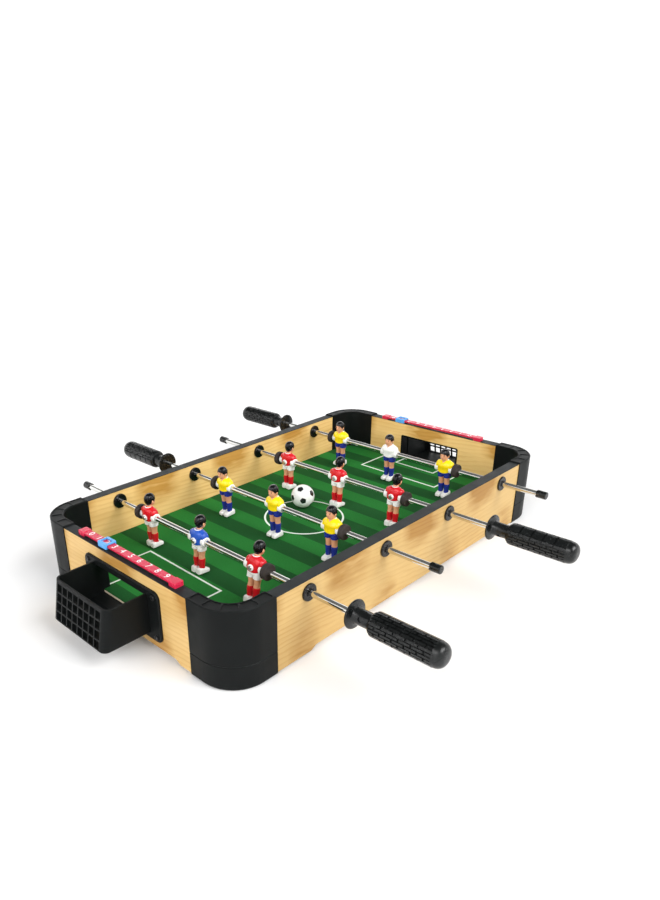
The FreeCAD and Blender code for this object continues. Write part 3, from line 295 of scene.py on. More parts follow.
# The two boxes before each goal, as (distance from the middle to the box, half its width)
GOAL_BOXES = ((0.1765, 0.0585), (0.2155, 0.0300))
BOX_HALF_DEPTH = 0.1
DARK_GRASS = (0.010, 0.086, 0.019)
LIGHT_GRASS = (0.019, 0.180, 0.031)
LINE_WHITE = (0.78, 0.86, 0.78)


def pitch(name):
    """The printed field: mown bands across, with white lines."""
    shader = Shader(name, 0.85, Specular_IOR_Level=0.12)
    bands = shader.plus(shader.times(shader.x, 0.5 / BAND_WIDTH), 0.25)
    stripe = shader.maths("LESS_THAN", shader.maths("FRACT", bands), 0.5)
    grass = shader.blend(stripe, DARK_GRASS, LIGHT_GRASS)
    blades = shader.ramp(
        shader.noise(1.0, stretch=(900, 900, 900), detail=4.0),
        (NOISE_LOW, (0.72, 0.78, 0.74)),
        (NOISE_HIGH, (1.18, 1.14, 1.14)),
    )
    patches = shader.ramp(
        shader.noise(9.0), (NOISE_LOW, (0.93, 0.95, 0.93)), (NOISE_HIGH, WHITE_LIGHT)
    )
    grass = shader.blend(1.0, shader.blend(1.0, grass, blades, "MULTIPLY"), patches, "MULTIPLY")
    east = shader.minus(shader.x, FIELD_MIDDLE[0])
    north = shader.minus(shader.y, FIELD_MIDDLE[1])
    cosine = math.cos(FIELD_TURN)
    sine = math.sin(FIELD_TURN)
    x = shader.plus(shader.times(east, cosine), shader.times(north, sine))
    y = shader.minus(shader.times(north, cosine), shader.times(east, sine))
    marks = circle(shader, x, y, CIRCLE_RADIUS, LINE_WIDTH)
    for side in (-1, 1):
        for reach, half in GOAL_BOXES:
            centre = (side * (reach + BOX_HALF_DEPTH), 0)
            box = outline(shader, x, y, centre, (BOX_HALF_DEPTH, half), LINE_WIDTH)
            marks = shader.maths("MAXIMUM", marks, box)
    shader.colour(shader.blend(marks, grass, LINE_WHITE))
    fine = shader.noise(1.0, stretch=(1400, 1400, 1400), detail=2.0)
    shader.bump(fine, distance=0.00008, strength=0.5)
    return shader.material


def moulded(name, colour, roughness, grain=1800.0, depth=0.00004, amount=0.12, **settings):
    """Moulded plastic or rubber with a fine eroded grain."""
    shader = Shader(name, roughness, **settings)
    shader.colour(mottled(shader, colour, amount, scale=35.0))
    shader.roughness(shader.spread(shader.noise(70.0), roughness - 0.05, roughness + 0.06))
    shader.bump(shader.noise(grain, detail=1.0), depth, strength=0.6)
    return shader.material


def glossy(name, colour, roughness=0.18, amount=0.05, **settings):
    """Smooth glossy plastic or paint."""
    settings.setdefault("Coat_Weight", 0.12)
    settings.setdefault("Coat_Roughness", 0.08)
    settings.setdefault("Specular_IOR_Level", 0.4)
    shader = Shader(name, roughness, **settings)
    shader.colour(mottled(shader, colour, amount, scale=120.0))
    shader.roughness(shader.spread(shader.noise(160.0), roughness - 0.04, roughness + 0.05))
    shader.bump(shader.noise(500.0, detail=1.0), distance=0.00002, strength=0.4)
    return shader.material


def drawn_steel(name, colour, roughness):
    """Bright plated steel, a little hazier in some stretches than in others."""
    shader = Shader(name, roughness, Metallic=1.0)
    shader.colour(mottled(shader, colour, amount=0.03, scale=25.0))
    shader.roughness(shader.spread(shader.noise(30.0), roughness - 0.02, roughness + 0.03))
    return shader.material


# How the ball's spots are turned about X, Y and Z, in degrees
BALL_TURN = (-17.0, -28.0, -10.0)
# A spot is where the nearest axis, less a share of the next two, passes the edge. All are cosines
SPOT_EDGE = 0.571
SPOT_SOFTNESS = 0.004
NEXT_SHARE = 0.33
BALL_WHITE = (0.86, 0.87, 0.85)
BALL_BLACK = (0.012, 0.012, 0.014)


def ball_paint(name, centre):
    """White gloss with a dozen evenly spaced black pentagons."""
    shader = Shader(name, 0.16, Coat_Weight=0.4, Coat_Roughness=0.06)
    golden = (1 + math.sqrt(5)) / 2
    turn = Euler([math.radians(angle) for angle in BALL_TURN]).to_matrix()
    offset = shader.add("ShaderNodeVectorMath", operation="SUBTRACT")
    shader.put(shader.place, offset.inputs[0])
    offset.inputs[1].default_value = centre
    unit = shader.add("ShaderNodeVectorMath", operation="NORMALIZE")
    shader.put(offset.outputs[0], unit.inputs[0])
    first = second = third = 0.0
    for sign in (-1, 1):
        for axis in ((0, sign, golden), (sign, golden, 0), (golden, 0, sign)):
            dot = shader.add("ShaderNodeVectorMath", operation="DOT_PRODUCT")
            shader.put(unit.outputs[0], dot.inputs[0])
            dot.inputs[1].default_value = turn @ Vector(axis).normalized()
            along = shader.maths("ABSOLUTE", dot.outputs["Value"])
            third = shader.maths("MAXIMUM", third, shader.maths("MINIMUM", second, along))
            second = shader.maths("MAXIMUM", second, shader.maths("MINIMUM", first, along))
            first = shader.maths("MAXIMUM", first, along)
    inside = shader.minus(first, shader.times(shader.plus(second, third), NEXT_SHARE))
    spot = shader.map_range(
        inside, SPOT_EDGE - SPOT_SOFTNESS, SPOT_EDGE + SPOT_SOFTNESS, 0.0, 1.0
    )
    white = mottled(shader, BALL_WHITE, amount=0.03, scale=60.0)
    shader.colour(shader.blend(spot, white, BALL_BLACK))
    shader.bump(spot, distance=0.0001, strength=0.4)
    return shader.material


# The outside factors darken only the outer faces: painted shade, leaving the inner walls lighter.
WOOD_SIDE = wood("pine_along", "x", core=0.142, outside=0.68)
WOOD_END = wood("pine_across", "y", core=0.247, outside=0.80)
BOARD = board_edge("board_edge")
PITCH = pitch("printed_pitch")
BLACK = moulded("black_moulded", (0.0055, 0.0065, 0.0065), 0.42, Specular_IOR_Level=0.11)
BUSH_BLACK = glossy("black_bush", (0.004, 0.004, 0.005), 0.22, Coat_Weight=0.0)
TRIM = moulded("grey_strip", (0.015, 0.018, 0.019), 0.50, Specular_IOR_Level=0.18)
GRIP = moulded(
    "grip_black", (0.004, 0.005, 0.005), 0.26, grain=900.0, depth=0.00002, Specular_IOR_Level=0.45
)
RUBBER = moulded(
    "rubber_black", (0.034, 0.027, 0.025), 0.70, grain=1200.0, depth=0.00008, Specular_IOR_Level=0.3
)
CHROME = drawn_steel("rod_plating", (0.74, 0.74, 0.71), 0.06)
ZINC = drawn_steel("screw_plating", (0.62, 0.62, 0.62), 0.28)
SCREW_BLACK = glossy("screw_black", (0.010, 0.010, 0.011), 0.30)
SCORE_RED = glossy("score_red", (0.60, 0.018, 0.060), 0.25)
SCORE_BLUE = glossy("score_blue", (0.09, 0.36, 0.78), 0.22)
DIGIT_WHITE = glossy("digit_white", (0.92, 0.90, 0.90), 0.35)
SKIN = glossy("figure_skin", (0.74, 0.36, 0.20), 0.30)
HAIR = glossy(
    "figure_hair", (0.003, 0.003, 0.004), 0.16, Coat_Weight=0.0, Specular_IOR_Level=0.35
)
WHITE = glossy("figure_white", (0.86, 0.86, 0.84), 0.24)
BROW = glossy("figure_brow", (0.022, 0.014, 0.010), 0.30)
LIP = glossy("figure_lip", (0.50, 0.13, 0.09), 0.30)
RED = glossy("paint_red", (0.60, 0.010, 0.018), 0.22)
YELLOW = glossy("paint_yellow", (0.93, 0.68, 0.006), 0.24)
BLUE = glossy("paint_blue", (0.020, 0.090, 0.47), 0.22)
NAVY = glossy("paint_navy", (0.018, 0.030, 0.26), 0.24)

# ---------------------------------------------------------------- finishes of the CAD nodes

FINISHES = {
    "black_plastic": BLACK,
    "grey_plastic": TRIM,
    "screw_steel": ZINC,
    "screw_black": SCREW_BLACK,
    "board_wood": BOARD,
    "green_sheet": PITCH,
    "rod_steel": CHROME,
    "rubber": RUBBER,
    "grip": GRIP,
    "score_red": SCORE_RED,
    "score_blue": SCORE_BLUE,
}
SLOTS = {part["node"]: part["material_slot"] for part in frame["record"]["subparts"]}


def finish_nodes():
    """Give each carried-over CAD node its material. The red players' rods have bright screws."""
    for name, node in frame["nodes"].items():
        finish = FINISHES.get(SLOTS[name])
        if name.startswith("side_panel"):
            finish = WOOD_SIDE
        elif name.startswith("end_panel"):
            finish = WOOD_END
        elif name in ("rod_bushes", "bush_rings"):
            finish = BUSH_BLACK
        elif name in ("rod_screws_1", "rod_screws_3"):
            finish = ZINC
        if finish:
            node.data.materials.clear()
            node.data.materials.append(finish)


finish_nodes()

# ---------------------------------------------------------------- lofted shells


def oval(half_u, half_v, power, centre_u, centre_v, height, count=28):
    """A rounded outline across the figure at one height."""
    ring = []
    for index in range(count):
        angle = 2 * math.pi * index / count
        cosine = math.cos(angle)
        sine = math.sin(angle)
        u = centre_u + half_u * math.copysign(abs(cosine) ** (2 / power), cosine)
        v = centre_v + half_v * math.copysign(abs(sine) ** (2 / power), sine)
        ring.append(Vector((u, v, height)))
    return ring


def eased(sections, steps=4):
    """More sections, on a smooth curve through the given ones."""
    result = []
    last = len(sections) - 1
    for index in range(last):
        before = sections[max(index - 1, 0)]
        here = sections[index]
        there = sections[index + 1]
        after = sections[min(index + 2, last)]
        for step in range(steps):
            t = step / steps
            result.append(
                tuple(
                    0.5
                    * (
                        2 * b
                        + (c - a) * t
                        + (2 * a - 5 * b + 4 * c - d) * t**2
                        + (3 * b - a - 3 * c + d) * t**3
                    )
                    for a, b, c, d in zip(before, here, there, after)
                )
            )
    result.append(sections[-1])
    return result


def cut_out(made, cutter):
    """Take the cutter's mesh out of the object's."""
    tool = bpy.data.objects.new("cutter", cutter)
    bpy.context.scene.collection.objects.link(tool)
    cut = made.modifiers.new("cut", "BOOLEAN")
    cut.object = tool
    cut.solver = "EXACT"
    bpy.context.view_layer.update()
    seen = made.evaluated_get(bpy.context.evaluated_depsgraph_get())
    mesh = bpy.data.meshes.new_from_object(seen)
    made.modifiers.clear()
    made.data = mesh
    bpy.data.objects.remove(tool)


class Shells:
    """A mesh of closed shells in millimetres, each with its own material."""

    def __init__(self):
        self.mesh = bmesh.new()
        self.materials = []
        self.shift = Vector()

    def slot(self, material):
        if material not in self.materials:
            self.materials.append(material)
        return self.materials.index(material)

    def loft(self, rings, material, closed=False):
        """Skin over the rings, ended by a fan at each end, or joined up into a loop."""
        slot = self.slot(material)
        loops = [[self.mesh.verts.new(spot + self.shift) for spot in ring] for ring in rings]
        pairs = list(zip(loops[:-1], loops[1:]))
        if closed:
            pairs.append((loops[-1], loops[0]))
        faces = []
        for low, high in pairs:
            for index in range(len(low)):
                after = (index + 1) % len(low)
                faces.append(self.mesh.faces.new((low[index], low[after], high[after], high[index])))
        if not closed:
            for loop in (loops[0], loops[-1]):
                middle = sum((vertex.co for vertex in loop), Vector()) / len(loop)
                hub = self.mesh.verts.new(middle)
                for index in range(len(loop)):
                    after = (index + 1) % len(loop)
                    faces.append(self.mesh.faces.new((loop[index], loop[after], hub)))
        for face in faces:
            face.material_index = slot
            face.smooth = True
        bmesh.ops.recalc_face_normals(self.mesh, faces=faces)

    def ovals(self, sections, material, steps=4):
        self.loft([oval(*section) for section in eased(sections, steps)], material)

    def piece(self, name, place, body, slot, *nodes, sharp=38.0, cutter=None):
        """The object, put in place and cut, riding on its body and standing for its nodes."""
        mesh = bpy.data.meshes.new(name)
        self.mesh.transform(place @ Matrix.Scale(MM, 4))
        self.mesh.to_mesh(mesh)
        self.mesh.free()
        for material in self.materials:
            mesh.materials.append(material)
        mesh.set_sharp_from_angle(angle=math.radians(sharp))
        made = bpy.data.objects.new(name, mesh)
        bpy.context.scene.collection.objects.link(made)
        if cutter:
            cut_out(made, cutter)
        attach(made, body)
        if nodes:
            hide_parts(*nodes)


# ---------------------------------------------------------------- figures
# A figure is made about its rod, in millimetres: u is the way it faces, v runs along the rod, and
# heights are from the rod. Each section is (half size along u, half size along v, squareness,
# middle along u, middle along v, height).

# How far the head and its hair are moved forward
HEAD_FORWARD = 2.2
# How far each rod's players lean towards +X at rest, in degrees: front, middle, back
PLAYER_TILTS = {1: (10, 3, -3), 2: (2, 0, -3), 3: (4, 3, 0), 4: (-2, 0, 0)}


# The shirt's hem dips in the middle and rises over the hips
HEM_START = -0.6
HEM_HEIGHT = 3.4
HEM_DIP = 1.3
HIP = 8.5
FOLD = 0.12


def figure_shirt(shells, shirt):
    """A shirt with short sleeves."""
    rings = []
    for section in eased(
        [
            (5.5, 7.8, 2.6, 0.2, 0, -4.2),
            (6.1, 8.5, 2.6, 0.2, 0, -3.8),
            (6.2, 8.6, 2.6, 0.1, 0, -2.4),
            (6.3, 8.5, 2.6, 0.0, 0, -0.6),
            (6.5, 8.8, 2.5, 0.1, 0, 1.4),
            (6.8, 9.6, 2.4, 0.3, 0, 3.9),
            (6.4, 9.8, 2.3, 0.2, 0, 6.2),
            (5.3, 8.9, 2.2, -0.1, 0, 8.4),
            (4.0, 6.4, 2.1, -0.3, 0, 10.0),
            (3.0, 3.8, 2.0, -0.4, 0, 10.9),
        ]
    ):
        ring = oval(*section)
        share = max(0.0, min(1.0, (HEM_START - section[5]) / HEM_HEIGHT))
        for spot in ring:
            sideways = min(abs(spot.y) / HIP, 1.0)
            spot.z += share * HEM_DIP * (1.6 * sideways**2 - 0.6)
            fold = math.sin(spot.y * 1.7 + spot.z * 0.8) * FOLD
            spot.x += math.copysign(fold, spot.x) if abs(spot.x) > 2 else 0.0
        rings.append(ring)
    shells.loft(rings, shirt)
    for side in (-1, 1):
        shells.ovals(
            [
                (1.6, 1.0, 2.0, 0.0, side * 6.6, 9.2),
                (3.5, 2.3, 2.1, 0.0, side * 7.3, 8.4),
                (4.3, 2.7, 2.2, 0.1, side * 8.3, 6.0),
                (4.2, 2.5, 2.2, 0.3, side * 8.9, 3.2),
                (3.9, 2.2, 2.2, 0.5, side * 9.1, 1.4),
                (3.2, 1.7, 2.2, 0.6, side * 8.9, 1.0),
            ],
            shirt,
        )


COLLAR_REACH = 3.45
COLLAR_POINT = 1.75
COLLAR_HEIGHT = 10.7
COLLAR_DROP = 2.9
COLLAR_BACK = 0.3
BAND_HALF_WIDTH = 0.55
BAND_HALF_HEIGHT = 0.5


def figure_collar(shells):
    """A white band round the neck that drops to a point in front."""
    rings = []
    count = 36
    sides = 8
    for index in range(count):
        angle = 2 * math.pi * index / count
        front = max(math.cos(angle), 0.0)
        reach = COLLAR_REACH + COLLAR_POINT * front**3
        height = COLLAR_HEIGHT - COLLAR_DROP * front**2.2
        u = reach * math.cos(angle) - COLLAR_BACK
        v = reach * 0.98 * math.sin(angle)
        centre = Vector((u, v, height))
        out = Vector((math.cos(angle), math.sin(angle), 0))
        ring = []
        for step in range(sides):
            turn = 2 * math.pi * step / sides
            lift = Vector((0, 0, BAND_HALF_HEIGHT * math.sin(turn)))
            ring.append(centre + out * BAND_HALF_WIDTH * math.cos(turn) + lift)
        rings.append(ring)
    shells.loft(rings, WHITE, closed=True)


def figure_neck(shells):
    """The neck, with the skin that shows in the collar's opening."""
    shells.ovals(
        [
            (0.5, 0.4, 2.0, 5.15, 0, 7.9),
            (1.6, 1.1, 2.0, 3.8, 0, 8.9),
            (2.9, 2.4, 2.0, 1.9, 0, 10.0),
            (3.0, 2.9, 2.0, 1.0, 0, 11.2),
            (2.9, 2.8, 2.0, 1.5, 0, 13.5),
        ],
        SKIN,
    )


def figure_head(shells):
    """A plain head with nose, ears, eyes, brows and mouth."""
    shells.ovals(
        [
            (1.3, 1.3, 2.0, 2.6, 0, 11.0),
            (2.7, 2.5, 2.1, 1.9, 0, 11.5),
            (3.9, 3.5, 2.2, 1.2, 0, 12.8),
            (4.8, 4.4, 2.2, 0.7, 0, 14.8),
            (5.3, 4.9, 2.2, 0.4, 0, 17.2),
            (5.4, 5.0, 2.1, 0.2, 0, 19.4),
            (4.4, 4.0, 2.0, 0.0, 0, 21.4),
            (2.6, 2.4, 2.0, 0.0, 0, 22.8),
            (1.0, 1.0, 2.0, 0.0, 0, 23.4),
        ],
        SKIN,
        5,
    )
    shells.ovals(
        [
            (0.3, 0.5, 2.0, 5.5, 0, 18.2),
            (0.7, 0.6, 2.0, 5.6, 0, 17.2),
            (1.1, 0.9, 2.0, 5.6, 0, 16.0),
            (0.7, 0.8, 2.0, 5.4, 0, 15.4),
        ],
        SKIN,
    )
    for side in (-1, 1):
        shells.ovals(
            [
                (0.4, 0.2, 2.0, -0.2, side * 4.9, 14.6),
                (0.9, 0.6, 2.0, -0.1, side * 5.0, 15.3),
                (1.3, 0.7, 2.0, 0.0, side * 5.1, 16.6),
                (1.0, 0.5, 2.0, 0.0, side * 5.1, 17.8),
                (0.4, 0.2, 2.0, 0.0, side * 5.0, 18.3),
            ],
            SKIN,
        )
        shells.ovals(
            [
                (0.25, 0.35, 2.0, 5.15, side * 1.95, 16.9),
                (0.45, 0.75, 2.0, 5.05, side * 1.95, 17.3),
                (0.25, 0.45, 2.0, 5.10, side * 1.95, 17.7),
            ],
            BROW,
        )
        shells.ovals(
            [
                (0.25, 0.9, 2.0, 5.15, side * 2.05, 18.5),
                (0.40, 1.2, 2.0, 5.10, side * 2.05, 18.75),
                (0.25, 0.9, 2.0, 5.05, side * 2.05, 19.0),
            ],
            BROW,
        )
    shells.ovals(
        [
            (0.3, 0.9, 2.0, 4.95, 0, 13.5),
            (0.45, 1.3, 2.0, 5.0, 0, 13.8),
            (0.3, 1.0, 2.0, 5.05, 0, 14.1),
        ],
        LIP,
    )


# How low the hair comes, as (degrees away from the forehead, height)
HAIRLINE = (
    (0, 20.4),
    (40, 19.6),
    (62, 17.6),
    (78, 15.8),
    (96, 16.4),
    (112, 14.2),
    (145, 12.4),
    (180, 11.9),
)
HAIR_TOP = 25.0
# The height where the hair is widest, and its half sizes there
HAIR_MIDDLE = 17.6
HAIR_HALF_U = 6.1
HAIR_HALF_V = 5.55
HAIR_LOCKS = 11
LOCK_HEIGHT = 0.16
FRINGE_HEIGHT = 19.5
FRINGE_SWELL = 0.05
# The last ring turns in under the edge
EDGE_PULL = 0.84


def hairline(angle):
    """How low the hair comes, eased between the marks."""
    away = abs((math.degrees(angle) + 180) % 360 - 180)
    for (low, first), (high, second) in zip(HAIRLINE[:-1], HAIRLINE[1:]):
        if away <= high:
            share = (away - low) / (high - low)
            share = share * share * (3 - 2 * share)
            return first + (second - first) * share
    return HAIRLINE[-1][1]


def hair_width(height):
    """The share of its full width that the hair has at a height."""
    if height > HAIR_MIDDLE:
        up = (height - HAIR_MIDDLE) / (HAIR_TOP - HAIR_MIDDLE)
        return math.sqrt(max(1 - up**2.3, 0.004))
    return 1 - 0.42 * ((HAIR_MIDDLE - height) / 6.0) ** 1.6


def figure_hair(shells):
    """A moulded cap of combed hair, with a crisp line all round."""
    count = 60
    levels = 12
    rings = []
    for level in range(1, levels + 2):
        share = min(level / levels, 1.0)
        ring = []
        for index in range(count):
            angle = 2 * math.pi * index / count
            height = HAIR_TOP - (HAIR_TOP - hairline(angle)) * share**1.35
            wide = hair_width(height)
            front = max(math.cos(angle), 0.0)
            comb = math.sin(HAIR_LOCKS * angle + height * 0.9)
            lock = LOCK_HEIGHT * comb * min(share * 2.5, 1.0)
            swell = 1 + FRINGE_SWELL * front * (height > FRINGE_HEIGHT)
            pull = EDGE_PULL if level > levels else 1.0
            u = 0.1 + (HAIR_HALF_U * wide * swell + lock) * math.cos(angle) * pull
            v = (HAIR_HALF_V * wide + lock) * math.sin(angle) * pull
            ring.append(Vector((u, v, height)))
        rings.append(ring)
    shells.loft(rings, HAIR)


def figure_shorts(shells, shorts):
    """A waist and two wide legs with soft folds."""
    shells.ovals(
        [
            (5.2, 7.8, 2.6, 0.1, 0, -2.0),
            (5.4, 8.0, 2.6, 0.1, 0, -4.6),
            (5.2, 7.9, 2.5, 0.1, 0, -6.8),
            (4.2, 7.0, 2.4, 0.1, 0, -7.8),
        ],
        shorts,
    )
    for side in (-1, 1):
        rings = []
        for section in eased(
            [
                (4.7, 3.9, 2.4, 0.2, side * 3.95, -5.0),
                (4.9, 4.0, 2.4, 0.2, side * 4.05, -7.8),
                (4.9, 4.0, 2.4, 0.2, side * 4.10, -10.2),
                (4.7, 3.9, 2.4, 0.2, side * 4.10, -10.8),
                (3.4, 3.0, 2.2, 0.2, side * 4.00, -10.5),
            ]
        ):
            ring = oval(*section)
            for spot in ring:
                spot.x += 0.15 * math.sin(spot.y * 2.4 + spot.z)
            rings.append(ring)
        shells.loft(rings, shorts)


def figure_legs(shells, socks):
    """Bare legs down to socks with a raised top."""
    for side in (-1, 1):
        shells.ovals(
            [
                (3.9, 3.4, 2.1, 0.2, side * 3.9, -8.5),
                (3.7, 3.3, 2.1, 0.3, side * 3.8, -12.5),
                (3.2, 2.9, 2.1, 0.3, side * 3.8, -16.0),
                (3.2, 2.8, 2.1, 0.0, side * 3.8, -19.5),
                (3.0, 2.7, 2.1, 0.0, side * 3.8, -22.0),
            ],
            SKIN,
        )
        shells.ovals(
            [
                (3.1, 2.8, 2.1, 0.0, side * 3.8, -19.8),
                (3.6, 3.2, 2.1, 0.0, side * 3.8, -20.0),
                (3.7, 3.3, 2.1, 0.0, side * 3.8, -21.4),
                (3.5, 3.1, 2.1, 0.0, side * 3.8, -24.5),
                (3.1, 2.9, 2.1, 0.0, side * 3.8, -28.0),
                (3.1, 2.9, 2.1, 0.1, side * 3.8, -31.5),
            ],
            socks,
        )


# A shoe from heel to toe, as (distance forward, half width, top, bottom, distance from the middle)
SHOE = (
    (-5.6, 2.4, -31.6, -35.8, 3.5),
    (-5.3, 3.1, -30.2, -36.0, 3.6),
    (-3.2, 3.5, -29.7, -36.0, 3.7),
    (0.0, 3.5, -29.8, -36.0, 3.8),
    (2.6, 3.4, -30.8, -36.0, 3.8),
    (5.0, 3.3, -31.6, -36.0, 3.9),
    (7.2, 3.0, -32.3, -36.0, 3.9),
    (8.1, 2.3, -33.0, -35.7, 3.9),
)
# 1 would make a shoe's section round, and less makes its corners squarer
SHOE_CORNER = 0.38
SHOE_NARROWING = 0.12
# The web that joins the shoes, as (distance forward, half width, top, bottom)
SHOE_WEB = (
    (-5.0, 2.6, -32.6, -34.6),
    (-3.6, 3.0, -31.6, -34.4),
    (1.5, 3.0, -31.6, -34.4),
    (3.0, 2.6, -32.6, -34.6),
)


def shoe_ring(along, half, top, bottom, out, side):
    """One section across a shoe: a rounded box, a little narrower above."""
    ring = []
    count = 24
    middle = (top + bottom) / 2
    tall = (top - bottom) / 2
    for index in range(count):
        angle = 2 * math.pi * index / count
        cosine = math.cos(angle)
        sine = math.sin(angle)
        v = half * math.copysign(abs(cosine) ** SHOE_CORNER, cosine)
        h = tall * math.copysign(abs(sine) ** SHOE_CORNER, sine)
        narrow = 1 - SHOE_NARROWING * max(sine, 0.0)
        ring.append(Vector((along, side * (out + v * narrow), middle + h)))
    return ring


def figure_shoes(shells):
    """Two shoes with a web between them."""
    for side in (-1, 1):
        sections = eased(SHOE, 3)
        shells.loft([shoe_ring(*section, side) for section in sections], WHITE)
    rings = []
    count = 16
    for along, half, top, bottom in SHOE_WEB:
        ring = []
        for index in range(count):
            angle = 2 * math.pi * index / count
            h = (top + bottom) / 2 + (top - bottom) / 2 * math.sin(angle)
            ring.append(Vector((along, half * math.cos(angle), h)))
        rings.append(ring)
    shells.loft(rings, WHITE)


def turned(profile, count=40):
    """Rings of a shape turned about the u axis, from (radius, along) pairs."""
    rings = []
    for radius, along in profile:
        rings.append(
            [
                Vector((along, radius * math.cos(turn), radius * math.sin(turn)))
                for turn in (2 * math.pi * index / count for index in range(count))
            ]
        )
    return rings


# The ring round the rod at each arm, as (radius, distance along the rod)
ARM_RING = (
    (3.03, 7.5),
    (4.9, 7.5),
    (4.9, 11.4),
    (4.6, 11.85),
    (4.2, 12.0),
    (3.5, 12.0),
    (3.1, 11.7),
    (3.03, 11.4),
)
# The socket of the back screw, as (radius, distance forward)
SCREW_SOCKET = ((1.45, -4.5), (3.2, -4.5), (3.2, -7.1), (3.0, -7.5), (2.7, -7.6), (1.5, -7.6))


def figure_bosses(shells):
    """The rings round the rod and the socket of the back screw."""
    swap = Matrix(((0, 1, 0), (1, 0, 0), (0, 0, 1)))
    for side in (-1, 1):
        profile = [(radius, side * along) for radius, along in ARM_RING]
        rings = [[swap @ spot for spot in ring] for ring in turned(profile)]
        shells.loft(rings, WHITE, closed=True)
    shells.loft(turned(SCREW_SOCKET, 28), WHITE, closed=True)


def make_figure(number, place):
    """One player in place of its CAD node, leaning as it does at rest."""
    node = f"player_{number}_{place}"
    low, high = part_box(node)
    rod_low, rod_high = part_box(f"rod_{number}")
    axis = (rod_low + rod_high) / 2
    red_team = number % 2 == 1
    shirt, shorts, socks = (RED, WHITE, RED) if red_team else (YELLOW, NAVY, NAVY)
    if place == "middle" and number == RODS[0]:
        shirt = BLUE
    if place == "middle" and number == RODS[-1]:
        shirt = WHITE
    shells = Shells()
    figure_shirt(shells, shirt)
    figure_collar(shells)
    figure_neck(shells)
    shells.shift = Vector((HEAD_FORWARD, 0, 0))
    figure_head(shells)
    figure_hair(shells)
    shells.shift = Vector()
    figure_shorts(shells, shorts)
    figure_legs(shells, socks)
    figure_shoes(shells)
    figure_bosses(shells)
    spot = Matrix.Translation((axis.x, (low.y + high.y) / 2, axis.z))
    facing = Matrix.Rotation(0.0 if red_team else math.pi, 4, "Z")
    tilt = math.radians(PLAYER_TILTS[number][PLACES.index(place)])
    turn = Matrix.Rotation(tilt, 4, "Y") @ facing
    shells.piece(f"figure_{number}_{place}", spot @ turn, f"rod_{number}_assembly", SLOTS[node], node)


for number in RODS:
    for place in PLACES:
        make_figure(number, place)

# ---------------------------------------------------------------- handles

# Sizes of the grip, in millimetres from the handle's start and its axis. Two rows of pads lie on
# opposite sides, with ribs between them.
GRIP_LOW = 9.6
GRIP_HIGH = 11.0
RIB_SHOULDERS = (10.5, 10.8)
PADS = 5
PAD_FIRST = 22.0
PAD_PITCH = 11.3
# Degrees about the grip: a pad's points, the low edges on both sides of the ribs, and one rib's points
PAD_ANGLES = (-26.6, -20, -13, -6.5, 0, 6.5, 13, 20, 26.6)
PAD_EDGE = 27.8
RIBS_END = 152.2
RIB_FIRST = 30
RIB_PITCH = 15
RIBS = 8
RIB_POINTS = ((1.0, "low"), (2.4, "rib"), (7.5, "rib"), (12.6, "rib"), (14.0, "low"))
# Half the width of a cut across the grip, at its floor and at its top
CUT_FLOOR = 0.5
CUT_TOP = 0.75
# How each grip is turned about its rod, in degrees
PAD_TURNS = {1: 50.0, 2: 20.0, 3: 112.0, 4: 80.0}
# The way each handle's screw points, in degrees from +X towards +Z
SCREW_TURNS = {1: 161.0, 2: 131.0, 3: 223.0, 4: 191.0}
SCREW_PLACE = 11.5
SCREW_SEAT = 5.8
SCREW_HOLE = 2.4
CUTTER_LENGTH = 6.0
# Flange and neck as (radius, distance from the handle's start)
NECK_PROFILE = (
    (3.04, 7.5),
    (3.04, 0.4),
    (3.4, 0.0),
    (12.0, 0.0),
    (12.7, 0.3),
    (13.0, 0.9),
    (13.0, 1.5),
    (12.6, 2.1),
    (9.8, 2.8),
    (8.6, 3.0),
    (7.5, 3.5),
    (7.0, 4.6),
    (7.0, 18.6),
    (7.2, 19.3),
    (9.0, 19.8),
    (9.5, 20.4),
)
DOME_START = 79.0
DOME_LENGTH = 7.9
DOME_RADIUS = 10.7
DOME_EDGE = 10.75
DOME_STEPS = 10
DOME_FULLNESS = 0.62


def grip_angles():
    """Angles about the grip with what stands there: a pad, a rib with its number, or neither."""
    angles = []
    for half_turn in (0, 180):
        for offset in PAD_ANGLES:
            angles.append((half_turn + offset, "pad", 0))
        angles.append((half_turn + PAD_EDGE, "low", 0))
        for rib in range(RIBS):
            cell = half_turn + RIB_FIRST + RIB_PITCH * rib
            for offset, kind in RIB_POINTS:
                angles.append((cell + offset, kind, rib))
        angles.append((half_turn + RIBS_END, "low", 0))
    return angles


def grip_stations():
    """Places along the grip with what is cut there: the pads and even ribs, the odd ribs, or nothing."""
    stations = []
    for index in range(1, 2 * PADS):
        at = PAD_FIRST + PAD_PITCH * index / 2
        cut = "even" if index % 2 == 0 else "odd"
        stations.append((at - CUT_TOP, None))
        stations.append((at - CUT_FLOOR, cut))
        stations.append((at + CUT_FLOOR, cut))
        stations.append((at + CUT_TOP, None))
    return stations


def cut_height(kind, rib, cut):
    """The grip's radius where the pads and every other rib are cut across."""
    if kind == "low":
        return GRIP_LOW
    own_cut = "odd" if kind == "rib" and rib % 2 else "even"
    return GRIP_LOW if cut == own_cut else GRIP_HIGH


def screw_cutter(place, side, start, turn):
    """A round hole from the screw's seat out through the neck."""
    hole = bmesh.new()
    bmesh.ops.create_cone(
        hole,
        cap_ends=True,
        segments=32,
        radius1=SCREW_HOLE,
        radius2=SCREW_HOLE,
        depth=CUTTER_LENGTH,
    )
    out = Matrix.Rotation(math.radians(90.0 - turn), 4, "Y")
    spot = Matrix.Translation((0, side * (start + SCREW_PLACE), 0))
    lift = Matrix.Translation((0, 0, SCREW_SEAT + CUTTER_LENGTH / 2))
    hole.transform(place @ Matrix.Scale(MM, 4) @ spot @ out @ lift)
    mesh = bpy.data.meshes.new("cutter")
    hole.to_mesh(mesh)
    hole.free()
    return mesh


